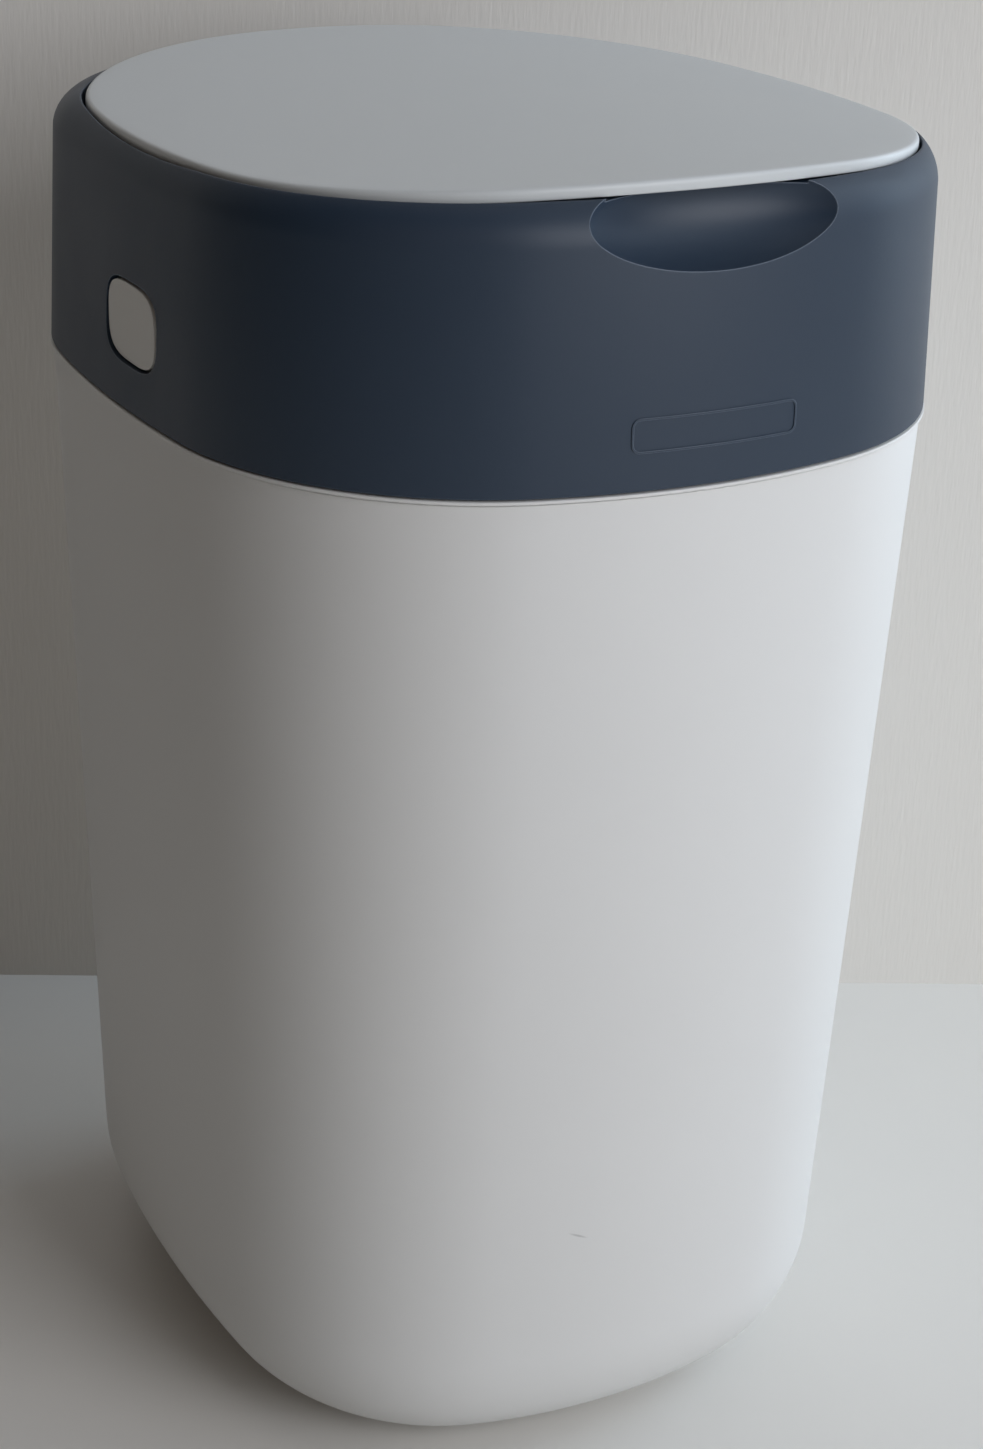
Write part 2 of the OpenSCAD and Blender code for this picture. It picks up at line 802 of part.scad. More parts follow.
// ---------- lid ----------
inner_inset = 8;
inner_wall = 2;
inner_back = hinge_y - 11;
inner_front = -front_block_back + 1.5;
lid_screw_at = [[78, 60], [70, -80]];

module lid_top() {
  color(lid_grey)
  difference() {
    union() {
      intersection() {
        plate(lid_line, 0, lid_under - 8, crown_top + 4);
        dome_sheet(lid_plate);
      }
      translate([0, hinge_y, hinge_z])
        for (s = [-1, 1])
          rod_x(hinge_r, s > 0 ? knuckle_in : -knuckle_out, s > 0 ? knuckle_out : -knuckle_in);
      for (s = [-1, 1])
        for (p = lid_screw_at)
          translate([s * p[0], p[1], 0])
            rod(3.5, lid_inner_under + inner_wall + 0.01, lid_under - 1);
    }
    for (x = [post_inner, post_outer, -post_inner - post_width, -post_outer - post_width])
      block(x - pocket_gap, x + post_width + pocket_gap, hinge_y - hinge_r - pocket_gap, half_depth,
        lid_under - 6, hinge_z + hinge_r + 0.3);
    translate([0, hinge_y, hinge_z]) rod_x(hinge_pin_r + pin_gap, -knuckle_out - 1, knuckle_out + 1);
    for (s = [-1, 1])
      for (p = lid_screw_at)
        translate([s * p[0], p[1], 0]) rod(1.1, lid_inner_under, lid_under - 1.5);
  }
}

module lid_inner() {
  color(inner_grey)
  difference() {
    intersection() {
      plate(lid_line, inner_inset, lid_inner_under, lid_under + 2);
      dome_space(lid_plate, lid_inner_under - 1);
      block(-130, 130, inner_front, inner_back, lid_inner_under - 1, crown_top);
    }
    intersection() {
      plate(lid_line, inner_inset + inner_wall, lid_inner_under + inner_wall, crown_top);
      block(-130, 130, inner_front + inner_wall, inner_back - inner_wall, lid_inner_under, crown_top + 1);
    }
    for (s = [-1, 1])
      for (p = lid_screw_at)
        translate([s * p[0], p[1], 0]) rod(1.5, lid_inner_under - 1, lid_under);
  }
}

module lid_seal() {
  color("#5b6066")
  tube(throat_radius + 8, throat_radius - 4, lid_inner_under - seal_height, lid_inner_under);
}

module lid_screws() {
  color(steel)
  for (s = [-1, 1])
    for (p = lid_screw_at)
      translate([s * p[0], p[1], lid_inner_under]) screw(1.1, 2.4, 1.5, 6.5);
}

tub();
collar();
deck();
deck_screws();
clamp_drum();
drum_screws();
twist_ring();
cassette_tray();
tray_screws();
cassette_body();
cassette_cap();
film_pack();
petal_right();
petal_back();
petal_left();
petal_front();
petal_pins();
petal_springs();
pawl();
pawl_pin();
pawl_spring();
latch_left();
latch_right();
latch_pins();
latch_springs();
lid_top();
lid_inner();
lid_seal();
lid_screws();
hinge_pins();
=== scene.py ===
"""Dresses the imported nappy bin: rounded shells, moulded finishes, a plain studio and the camera."""

import logging
import math
from dataclasses import dataclass, field, replace
from enum import Enum
from typing import Any, Callable, Iterable, Sequence

import bmesh
import bpy
from mathutils import Matrix, Vector


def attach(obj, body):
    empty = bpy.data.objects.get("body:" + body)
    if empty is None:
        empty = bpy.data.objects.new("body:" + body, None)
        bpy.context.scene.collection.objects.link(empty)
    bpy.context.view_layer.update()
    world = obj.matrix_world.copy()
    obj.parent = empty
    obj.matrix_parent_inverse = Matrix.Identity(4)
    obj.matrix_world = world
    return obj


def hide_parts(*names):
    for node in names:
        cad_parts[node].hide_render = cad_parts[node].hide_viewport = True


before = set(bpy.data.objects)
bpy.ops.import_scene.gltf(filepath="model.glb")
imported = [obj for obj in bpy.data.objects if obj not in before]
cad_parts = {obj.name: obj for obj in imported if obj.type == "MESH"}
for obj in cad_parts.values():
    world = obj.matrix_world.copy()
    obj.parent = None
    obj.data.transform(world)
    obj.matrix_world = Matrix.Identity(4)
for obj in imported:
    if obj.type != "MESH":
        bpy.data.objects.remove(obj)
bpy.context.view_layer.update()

log = logging.getLogger("nappy_bin")
MM = 0.001
WELD = 0.001 * MM
OVERRUN = 1.0
SMOOTH_ANGLE = math.radians(32)
ANGLE_SLACK = 1e-6
EDGE_SAMPLES = 6
DRIFT_SPAN = (0.25, 0.75)
DRIFT_LAYERS = 2.0
GRAIN_HARSHNESS = 0.62
CREASE_BEND = 6.0
DRAWN_OUT = (1.0, 0.12, 1.0)

Socket = bpy.types.NodeSocket
Tree = bpy.types.NodeTree


# ---------------------------------------------------------------- colours and nodes


def linear(hex_colour: str, gain: float = 1.0) -> tuple[float, float, float, float]:
    """Turns an sRGB hex colour into linear light.

    Args:
        hex_colour: six hex digits after a hash.
        gain: brightens or darkens the colour, 1.0 leaves it.

    Returns:
        Red, green, blue and an alpha of one.
    """
    channels = [int(hex_colour[i:i + 2], 16) / 255 for i in (1, 3, 5)]
    light = [c / 12.92 if c <= 0.04045 else ((c + 0.055) / 1.055) ** 2.4 for c in channels]
    return (*[min(1.0, c * gain) for c in light], 1.0)


def add_node(tree: Tree, kind: str, values: dict[Any, Any] | None = None,
             links: dict[Any, Socket] | None = None, **settings: Any) -> bpy.types.Node:
    """Adds one shader node with its settings, socket values and links.

    Args:
        tree: the node tree that takes the node.
        kind: the node's type name.
        values: a value for each named or numbered input.
        links: an output socket for each named or numbered input.
        settings: the node's own properties.

    Returns:
        The new node.
    """
    node = tree.nodes.new(kind)
    for name, value in settings.items():
        setattr(node, name, value)
    for socket, value in (values or {}).items():
        node.inputs[socket].default_value = value
    for socket, source in (links or {}).items():
        tree.links.new(source, node.inputs[socket])
    return node


def lay_over(tree: Tree, base: Socket, colour: str, value: Socket, span: tuple[float, float],
             strength: float) -> Socket:
    """Lays a second colour over a first where a value lies in a span.

    Args:
        tree: the material's nodes.
        base: the first colour.
        colour: the sRGB hex colour laid over it.
        value: what decides where.
        span: the values at which the second colour starts and is full.
        strength: how much of the second colour shows where it is full.

    Returns:
        The socket that carries the mixed colour.
    """
    mask = add_node(tree, "ShaderNodeMapRange",
                    {"From Min": span[0], "From Max": span[1], "To Min": 0.0, "To Max": strength},
                    {"Value": value}, interpolation_type="SMOOTHSTEP")
    return add_node(tree, "ShaderNodeMix", {7: linear(colour)},
                    {0: mask.outputs["Result"], 6: base}, data_type="RGBA").outputs[2]


class Act(Enum):
    """What a tool shape does to a piece."""

    JOIN = "UNION"
    CUT = "DIFFERENCE"


class Along(Enum):
    """The axis that a bar lies along, by the turn that lays an upright bar there."""

    X = (math.pi / 2, "Y")
    Y = (-math.pi / 2, "X")
    Z = (0.0, "X")


class Process(Enum):
    """How a surface was made, which decides the pattern of its fine relief."""

    SPARK_GRAIN = "moulded against a spark eroded tool"
    SATIN = "moulded against a fine blasted tool"
    PLATED = "zinc plated wire and bar"
    FOAMED = "open cell foam with a cut skin"
    PLEATED_FILM = "blown film, folded"


# how many ever finer layers the pattern of each process has
LAYERS = {Process.SPARK_GRAIN: 5.0, Process.SATIN: 2.0, Process.PLATED: 4.0,
          Process.PLEATED_FILM: 3.0}


@dataclass(frozen=True)
class Finish:
    """One real material and the way its surface was made.

    Sizes are in millimetres. `relief` is the height of the fine texture, `mottle` the share by
    which the colour drifts over `cloud`, `gloss_drift` how far the roughness goes with it, and `edge`
    the radius that the light sees on an edge. The last three fields paint a highlight along edges:
    how far the colour pales there, the pale colour, and the cosines of the edge's turn at which
    the painted highlight starts and is full.
    """

    name: str
    process: Process
    colour: str
    roughness: float
    grain: float
    relief: float
    mottle: float = 0.02
    cloud: float = 45.0
    edge: float = 0.4
    ior: float = 1.5
    metallic: float = 0.0
    gloss_drift: float = 0.035
    # painted highlight along edges: the colour paled where the surface turns over an edge
    edge_highlight: float = 0.0
    edge_highlight_colour: str = "#8793a3"
    edge_highlight_span: tuple[float, float] = (0.995, 0.82)

    def texture(self, tree: Tree, place: Socket) -> Socket:
        """Gives the height of the fine relief, from 0 to 1.

        Args:
            tree: the material's nodes.
            place: the piece's coordinates in metres.

        Returns:
            The socket that carries the height.
        """
        scale = 1 / (self.grain * MM)
        if self.process is Process.FOAMED:
            cells = add_node(tree, "ShaderNodeTexVoronoi", {"Scale": scale, "Randomness": 1.0},
                             {"Vector": place}, feature="F1")
            return cells.outputs["Distance"]
        size = {"Scale": scale, "Detail": LAYERS[self.process]}
        if self.process is Process.PLEATED_FILM:
            return add_node(tree, "ShaderNodeTexWave", {**size, "Distortion": CREASE_BEND},
                            {"Vector": place}, bands_direction="Z").outputs["Fac"]
        if self.process is Process.PLATED:
            drawn = add_node(tree, "ShaderNodeMapping", {"Scale": DRAWN_OUT}, {"Vector": place})
            place = drawn.outputs["Vector"]
        else:
            size["Roughness"] = GRAIN_HARSHNESS
        return add_node(tree, "ShaderNodeTexNoise", size, {"Vector": place}).outputs["Fac"]

    def colouring(self, tree: Tree, place: Socket, drift: Socket) -> Socket:
        """Gives the colour with its slow drift.

        Args:
            tree: the material's nodes.
            place: the piece's coordinates in metres.
            drift: the slow drift from 0 to 1.

        Returns:
            The socket that carries the colour.
        """
        return add_node(tree, "ShaderNodeMix",
                        {6: linear(self.colour, 1 - self.mottle),
                         7: linear(self.colour, 1 + self.mottle)},
                        {0: drift}, data_type="RGBA").outputs[2]

    def paint_edge_highlight(self, tree: Tree, rounded: Socket, colour: Socket) -> Socket:
        """Paints a highlight: pales the colour where the surface turns over an edge.

        Args:
            tree: the material's nodes.
            rounded: the normal with its edges rounded.
            colour: the colour without the painted highlight.

        Returns:
            The socket that carries the colour.
        """
        flat = add_node(tree, "ShaderNodeNewGeometry")
        turn = add_node(tree, "ShaderNodeVectorMath", None,
                        {0: rounded, 1: flat.outputs["Normal"]}, operation="DOT_PRODUCT")
        return lay_over(tree, colour, self.edge_highlight_colour, turn.outputs["Value"], self.edge_highlight_span,
                        self.edge_highlight)

    def make(self) -> bpy.types.Material:
        """Builds the material, or gives the one that was built before.

        Returns:
            A node material with drifting colour, uneven gloss, fine relief and soft edges.
        """
        if self.name in bpy.data.materials:
            return bpy.data.materials[self.name]
        material = bpy.data.materials.new(self.name)
        material.use_nodes = True
        tree = material.node_tree
        tree.nodes.clear()
        place = add_node(tree, "ShaderNodeTexCoord").outputs["Object"]
        drift = add_node(tree, "ShaderNodeTexNoise",
                         {"Scale": 1 / (self.cloud * MM), "Detail": DRIFT_LAYERS},
                         {"Vector": place}).outputs["Fac"]
        gloss = add_node(tree, "ShaderNodeMapRange",
                         {"From Min": DRIFT_SPAN[0], "From Max": DRIFT_SPAN[1],
                          "To Min": self.roughness - self.gloss_drift,
                          "To Max": self.roughness + self.gloss_drift}, {"Value": drift})
        edge = add_node(tree, "ShaderNodeBevel", {"Radius": self.edge * MM}, samples=EDGE_SAMPLES)
        relief = add_node(tree, "ShaderNodeBump", {"Strength": 1.0, "Distance": self.relief * MM},
                          {"Height": self.texture(tree, place), "Normal": edge.outputs["Normal"]})
        colour = self.colouring(tree, place, drift)
        # painted highlight: edges paled towards a light colour
        if self.edge_highlight:
            colour = self.paint_edge_highlight(tree, edge.outputs["Normal"], colour)
        shader = add_node(tree, "ShaderNodeBsdfPrincipled",
                          {"IOR": self.ior, "Metallic": self.metallic},
                          {"Base Color": colour, "Roughness": gloss.outputs["Result"],
                           "Normal": relief.outputs["Normal"]})
        add_node(tree, "ShaderNodeOutputMaterial", None, {"Surface": shader.outputs["BSDF"]})
        return material


@dataclass(frozen=True)
class ScuffedFinish(Finish):
    """A finish with one short rub mark across it, which fades out over `mark_span` of its size."""

    mark: tuple[float, float, float] = (0.0, 0.0, 0.0)
    mark_size: tuple[float, float, float] = (4.8, 6.0, 0.6)
    mark_colour: str = "#9a9a98"
    mark_tilt: float = math.radians(24)
    mark_span: tuple[float, float] = (1.0, 0.4)
    mark_strength: float = 0.55

    def colouring(self, tree: Tree, place: Socket, drift: Socket) -> Socket:
        """Gives the colour with the rub mark laid over it.

        Args:
            tree: the material's nodes.
            place: the piece's coordinates in metres.
            drift: the slow drift from 0 to 1.

        Returns:
            The socket that carries the colour.
        """
        plain = super().colouring(tree, place, drift)
        turned = add_node(tree, "ShaderNodeMapping",
                          {"Location": [c * MM for c in self.mark],
                           "Rotation": (0.0, self.mark_tilt, 0.0),
                           "Scale": [size * MM for size in self.mark_size]},
                          {"Vector": place}, vector_type="TEXTURE")
        reach = add_node(tree, "ShaderNodeVectorMath", None, {0: turned.outputs["Vector"]},
                         operation="LENGTH")
        return lay_over(tree, plain, self.mark_colour, reach.outputs["Value"], self.mark_span,
                        self.mark_strength)


# ---------------------------------------------------------------- plan outlines and lofted shells


@dataclass(frozen=True)
class Arc:
    """An arc of a convex outline that covers the normals from start to end, in degrees."""

    x: float
    y: float
    radius: float
    start: float
    end: float

    def point(self, angle: float, offset: float) -> Vector:
        """Gives the point whose outward normal has this angle, moved out by the offset.

        Args:
            angle: the direction of the normal, in degrees.
            offset: how far outside the arc.

        Returns:
            The point in plan.
        """
        reach = self.radius + offset
        turn = math.radians(angle)
        return Vector((self.x + reach * math.cos(turn), self.y + reach * math.sin(turn), 0.0))


def meeting(a: tuple[float, float], ra: float, b: tuple[float, float], rb: float,
            upper: bool) -> tuple[float, float]:
    """Finds where two circles meet.

    Args:
        a: centre of the first circle.
        ra: its radius.
        b: centre of the second circle.
        rb: its radius.
        upper: takes the meeting point that lies further back.

    Returns:
        The meeting point.
    """
    gap = Vector((b[0] - a[0], b[1] - a[1]))
    span = gap.length
    along = (ra * ra - rb * rb + span * span) / (2 * span)
    across = math.sqrt(ra * ra - along * along)
    foot = Vector(a) + gap * (along / span)
    side = Vector((-gap.y, gap.x)) * (across / span)
    found = max if upper else min
    return tuple(found((foot + side, foot - side), key=lambda p: p.y))


@dataclass(frozen=True)
class Plan:
    """A rounded outline of eight arcs that flow into one another, the same left and right.

    Each arc has at least `fewest` straight pieces.
    """

    half_width: float
    front: float
    back: float
    middle: float
    end_radius: float
    side_radius: float
    back_radius: float
    front_corner: float
    back_corner: float
    fewest: int = 3

    def arcs(self) -> list[Arc]:
        """Works out the right half of the outline.

        Returns:
            The arcs from straight ahead round to straight behind.
        """
        fore = (0.0, self.front + self.end_radius)
        aft = (0.0, self.back - self.back_radius)
        side = (self.half_width - self.side_radius, self.middle)
        corner = meeting(fore, self.end_radius - self.front_corner,
                         side, self.side_radius - self.front_corner, False)
        rear = meeting(aft, self.back_radius - self.back_corner,
                       side, self.side_radius - self.back_corner, True)
        turns = [self.bearing(fore, corner), self.bearing(side, corner),
                 self.bearing(side, rear), self.bearing(aft, rear)]
        return [Arc(*fore, self.end_radius, -90.0, turns[0]),
                Arc(*corner, self.front_corner, turns[0], turns[1]),
                Arc(*side, self.side_radius, turns[1], turns[2]),
                Arc(*rear, self.back_corner, turns[2], turns[3]),
                Arc(*aft, self.back_radius, turns[3], 90.0)]

    @staticmethod
    def bearing(start: tuple[float, float], end: tuple[float, float]) -> float:
        """Gives the direction from one point to another, in degrees."""
        return math.degrees(math.atan2(end[1] - start[1], end[0] - start[0]))

    def angles(self, step: float) -> list[float]:
        """Spreads normals round the whole outline.

        Args:
            step: the longest distance between neighbours, in millimetres.

        Returns:
            Angles in degrees, from straight ahead round to the right.
        """
        right: list[float] = []
        for arc in self.arcs():
            length = math.radians(arc.end - arc.start) * arc.radius
            count = max(self.fewest, math.ceil(length / step))
            right += [arc.start + (arc.end - arc.start) * i / count for i in range(count)]
        return right + [90.0] + [180.0 - a for a in reversed(right[1:])]

    def point(self, angle: float, offset: float = 0.0) -> Vector:
        """Gives the outline's point at a normal, moved out by the offset.

        Args:
            angle: the direction of the outward normal, in degrees.
            offset: how far outside the outline, in millimetres.

        Returns:
            The point in plan.
        """
        mirrored = angle > 90.0
        right = 180.0 - angle if mirrored else angle
        arc = next((a for a in self.arcs() if right <= a.end + ANGLE_SLACK), self.arcs()[-1])
        place = arc.point(right, offset)
        return Vector((-place.x, place.y, 0.0)) if mirrored else place

    def depth(self, place: Vector) -> float:
        """Gives how far inside the outline a point lies.

        Args:
            place: a point in plan.

        Returns:
            The distance to the outline, negative outside it.
        """
        right = Vector((abs(place.x), place.y, 0.0))
        return min(arc.radius - math.hypot(right.x - arc.x, right.y - arc.y)
                   for arc in self.arcs()
                   if arc.start - ANGLE_SLACK <= self.bearing((arc.x, arc.y), right[:2])
                   <= arc.end + ANGLE_SLACK)

    def inset_to(self, other: "Plan", angle: float, most: float = 20.0,
                 halvings: int = 30) -> float:
        """Measures from this outline straight in to another one.

        Args:
            other: the inner outline.
            angle: the normal at which the distance is taken.
            most: the longest distance tried.
            halvings: how often the range that holds the distance is halved.

        Returns:
            The distance in millimetres.
        """
        low, high = 0.0, most
        for _ in range(halvings):
            half = (low + high) / 2
            if other.depth(self.point(angle, -half)) > 0:
                high = half
            else:
                low = half
        return (low + high) / 2


Station = Callable[[float], Vector]


def corner_round(before: Vector, corner: Vector, after: Vector, reach: float,
                 steps: int = 3) -> list[Vector]:
    """Rounds one corner of a profile.

    Args:
        before: the profile's point before the corner.
        corner: the corner itself.
        after: the point after it.
        reach: how far from the corner the rounding starts, in millimetres.
        steps: how many straight pieces the rounding has.

    Returns:
        Points that replace the corner.
    """
    start = corner + (before - corner).normalized() * reach
    end = corner + (after - corner).normalized() * reach
    points = []
    for i in range(steps + 1):
        t = i / steps
        points.append(start * (1 - t) ** 2 + corner * 2 * t * (1 - t) + end * t ** 2)
    return points


def soften(profile: Sequence[tuple[float, float, float]]) -> list[Vector]:
    """Rounds a profile's corners.

    Args:
        profile: offset, height and corner reach of each point, in millimetres.

    Returns:
        The profile's points, offset first and height second.
    """
    points = [Vector((p[0], p[1])) for p in profile]
    rounded: list[Vector] = []
    for i, (_, _, reach) in enumerate(profile):
        if reach <= 0 or i in (0, len(profile) - 1):
            rounded.append(points[i])
        else:
            rounded += corner_round(points[i - 1], points[i], points[i + 1], reach)
    return rounded


@dataclass
class Loft:
    """Grows a shell ring by ring: each ring is extruded from the last and moved to its place."""

    angles: Sequence[float]
    mesh: bmesh.types.BMesh = field(default_factory=bmesh.new)

    def start(self, place: Station) -> list[bmesh.types.BMEdge]:
        """Makes the first ring.

        Args:
            place: gives the point of the ring at a normal, in millimetres.

        Returns:
            The ring's edges.
        """
        tag = self.mesh.verts.layers.int.new("place")
        ring = bmesh.ops.create_circle(self.mesh, cap_ends=False, radius=1.0,
                                       segments=len(self.angles))["verts"]
        for i, vert in enumerate(ring):
            vert[tag] = i
        self.lay(ring, place)
        return list({edge for vert in ring for edge in vert.link_edges})

    def lay(self, ring: Iterable[bmesh.types.BMVert], place: Station) -> None:
        """Moves a ring's points to their places.

        Args:
            ring: the points.
            place: gives each one's place from its normal.
        """
        tag = self.mesh.verts.layers.int["place"]
        for vert in ring:
            vert.co = place(self.angles[vert[tag]]) * MM

    def grow(self, edges: list[bmesh.types.BMEdge], place: Station) -> list[bmesh.types.BMEdge]:
        """Extrudes a ring and moves the copy.

        Args:
            edges: the ring that is extruded.
            place: where the new ring lies.

        Returns:
            The new ring's edges.
        """
        grown = bmesh.ops.extrude_edge_only(self.mesh, edges=edges)["geom"]
        self.lay([g for g in grown if isinstance(g, bmesh.types.BMVert)], place)
        return [g for g in grown if isinstance(g, bmesh.types.BMEdge)]

    def run(self, places: Iterable[Station]) -> tuple[list[bmesh.types.BMEdge], ...]:
        """Makes the first ring and grows all the others from it in turn.

        Args:
            places: where each ring lies.

        Returns:
            The edges of the first ring and of the last.
        """
        first, *others = places
        ends = [self.start(first)] * 2
        for place in others:
            ends[1] = self.grow(ends[1], place)
        return tuple(ends)

    def close(self, edges: list[bmesh.types.BMEdge], height: Callable[[Vector], float],
              shrink: Sequence[float] = (0.75, 0.5, 0.25)) -> None:
        """Covers the inside of a ring with smaller rings and a last small face.

        Args:
            edges: the ring to cover.
            height: gives the height of the cover at a point, in millimetres.
            shrink: the share of the ring's size that each smaller ring has.
        """
        ring = {vert for edge in edges for vert in edge.verts}
        centre = sum((v.co for v in ring), Vector()) / len(ring)
        last = 1.0
        for share in shrink:
            grown = bmesh.ops.extrude_edge_only(self.mesh, edges=edges)["geom"]
            verts = [g for g in grown if isinstance(g, bmesh.types.BMVert)]
            for vert in verts:
                vert.co.x = centre.x + (vert.co.x - centre.x) * share / last
                vert.co.y = centre.y + (vert.co.y - centre.y) * share / last
                vert.co.z = height(vert.co / MM) * MM
            edges = [g for g in grown if isinstance(g, bmesh.types.BMEdge)]
            last = share
        bmesh.ops.contextual_create(self.mesh, geom=edges)


def ring_at(plan: Plan, offset: float, height: float) -> Station:
    """Gives a level ring at one offset from an outline.

    Args:
        plan: the outline.
        offset: how far outside it the ring lies, in millimetres.
        height: the ring's height.

    Returns:
        The ring's point for each normal.
    """
    def place(angle: float) -> Vector:
        """Gives the ring's point at a normal."""
        flat = plan.point(angle, offset)
        return Vector((flat.x, flat.y, height))
    return place


def add_object(name: str, data: bpy.types.ID) -> bpy.types.Object:
    """Puts a mesh, a light or a camera in the scene as an object.

    Args:
        name: the object's name.
        data: what it shows.

    Returns:
        The new object, linked to the scene.
    """
    thing = bpy.data.objects.new(name, data)
    bpy.context.scene.collection.objects.link(thing)
    return thing


def mesh_object(name: str, mesh: bmesh.types.BMesh) -> bpy.types.Object:
    """Turns a bmesh, which is freed, into an object at the origin.

    Args:
        name: the object's name.
        mesh: its shape.

    Returns:
        The new object, linked to the scene.
    """
    data = bpy.data.meshes.new(name)
    mesh.to_mesh(data)
    mesh.free()
    return add_object(name, data)


def finish_mesh(name: str, mesh: bmesh.types.BMesh) -> bpy.types.Object:
    """Welds a bmesh, turns its faces outwards and makes it an object.

    Args:
        name: the piece's name.
        mesh: its shape, which is freed.

    Returns:
        The new object, linked to the scene.
    """
    bmesh.ops.remove_doubles(mesh, verts=mesh.verts, dist=WELD)
    bmesh.ops.recalc_face_normals(mesh, faces=mesh.faces)
    return mesh_object(name, mesh)


def shade(piece: bpy.types.Object) -> None:
    """Shades a piece smoothly and keeps its real edges crisp."""
    piece.data.shade_smooth()
    piece.data.set_sharp_from_angle(angle=SMOOTH_ANGLE)


def combine(piece: bpy.types.Object, tool: bmesh.types.BMesh, act: Act) -> None:
    """Joins a tool shape to a piece or cuts it away, and keeps only the result.

    Args:
        piece: the piece that is changed.
        tool: the other shape, which is freed.
        act: whether it is joined or cut away.
    """
    cutter = finish_mesh(piece.name + "_tool", tool)
    modifier = piece.modifiers.new("tool", "BOOLEAN")
    modifier.operation = act.value
    modifier.solver = "EXACT"
    modifier.object = cutter
    bpy.context.view_layer.update()
    result = bpy.data.meshes.new_from_object(
        piece.evaluated_get(bpy.context.evaluated_depsgraph_get()))
    piece.modifiers.clear()
    old, piece.data = piece.data, result
    bpy.data.meshes.remove(old)
    bpy.data.meshes.remove(cutter.data)


def box_shape(low: Sequence[float], high: Sequence[float]) -> bmesh.types.BMesh:
    """Makes a box between two corners given in millimetres.

    Args:
        low: the corner with the smallest coordinates.
        high: the corner with the largest.

    Returns:
        The closed box.
    """
    mesh = bmesh.new()
    size = Vector(high) - Vector(low)
    place = Matrix.Translation((Vector(low) + size / 2) * MM) @ Matrix.Diagonal((*(size * MM), 1.0))
    bmesh.ops.create_cube(mesh, size=1.0, matrix=place)
    return mesh


def rod_shape(radius: float, low: Sequence[float], axis: Along, length: float,
              segments: int = 40) -> bmesh.types.BMesh:
    """Makes a round bar.

    Args:
        radius: its radius in millimetres.
        low: the middle of its low end.
        axis: the axis that it lies along.
        length: its length along the axis.
        segments: how many flats stand for the round.

    Returns:
        The closed bar.
    """
    angle, about = axis.value
    turn = Matrix.Rotation(angle, 4, about)
    middle = Vector(low) + turn @ Vector((0.0, 0.0, length / 2))
    place = Matrix.Translation(middle * MM) @ turn
    mesh = bmesh.new()
    bmesh.ops.create_cone(mesh, cap_ends=True, segments=segments, radius1=radius * MM,
                          radius2=radius * MM, depth=length * MM, matrix=place)
    return mesh


# ---------------------------------------------------------------- the bin's own sizes


@dataclass(frozen=True)
class Form:
    """Sizes that the tub, the collar and the lid share, in millimetres.

    `hinge` and `latch` hold a place along Y and a height, `pivot` a place along X and a height,
    and `window` a width, a height and the power that bulges its sides. Outlines are drawn in
    steps of `fine` on the collar and the lid and of `coarse` on the tub.
    """

    body: Plan = Plan(122.0, -139.5, 139.5, -4.5, 204.0, 514.0, 204.0, 93.0, 93.0)
    mouth: Plan = Plan(118.3, -132.2, 131.5, -8.0, 204.0, 306.0, 191.0, 86.6, 109.0)
    lid: Plan = Plan(117.3, -131.2, 129.6, -8.0, 203.0, 305.0, 190.0, 85.6, 108.0)
    split: float = 342.5
    shoulder: float = 410.0
    shoulder_radius: float = 15.0
    flare: float = 2.3
    deck_top: float = 404.0
    crown: float = 426.5
    lid_under: float = 423.0
    crown_radius: float = 1500.0
    hinge: tuple[float, float] = (118.5, 423.1)
    latch: tuple[float, float] = (-14.7, 369.7)
    pivot: tuple[float, float] = (117.5, 350.0)
    window: tuple[float, float, float] = (39.0, 25.6, 3.3)
    window_shift: tuple[float, float] = (-1.0, -0.7)
    window_facets: int = 96
    fine: float = 4.0
    coarse: float = 5.0

    def flare_at(self, height: float) -> float:
        """Gives how far the collar's face stands outside the outline at a height."""
        return self.flare * (self.shoulder - height) / (self.shoulder - self.split)

    def crown_at(self, x: float, drop: float = 0.0) -> float:
        """Gives the height of the lid's crown, lowered by a drop."""
        radius = self.crown_radius
        return self.crown - drop - radius + math.sqrt(radius * radius - x * x)

    def window_bar(self, low: float, high: float, gap: float = 0.0) -> bmesh.types.BMesh:
        """Makes a bar of the latch window's outline, a square with bulging sides.

        Args:
            low: where the bar starts along X.
            high: where it ends.
            gap: how far it keeps inside the window all round.

        Returns:
            The closed bar.
        """
        width, height, power = self.window
        middle = Vector((0.0, self.latch[0] + self.window_shift[0],
                         self.latch[1] + self.window_shift[1]))
        mesh = rod_shape(1.0, (low, 0.0, 0.0), Along.X, high - low, self.window_facets)
        for vert in mesh.verts:
            turn = math.atan2(vert.co.z, vert.co.y)
            across, up = (math.copysign(abs(part) ** (2 / power), part)
                          for part in (math.cos(turn), math.sin(turn)))
            flat = Vector((0.0, across * (width / 2 - gap), up * (height / 2 - gap)))
            vert.co = Vector((vert.co.x, 0.0, 0.0)) + (middle + flat) * MM
        return mesh


@dataclass
class Piece:
    """Something that is put in the scene and rides on a body of the frame."""

    form: Form
    body: str
    slot: str

    def place(self, piece: bpy.types.Object, finish: bpy.types.Material, *nodes: str) -> None:
        """Dresses a piece and ties it to the frame.

        Args:
            piece: the finished object.
            finish: its material.
            nodes: the frame's nodes that it stands for.
        """
        piece.data.materials.clear()
        piece.data.materials.append(finish)
        shade(piece)
        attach(piece, self.body)
        if nodes:
            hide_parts(*nodes)
        log.info("%s: %d faces on %s", piece.name, len(piece.data.polygons), self.body)


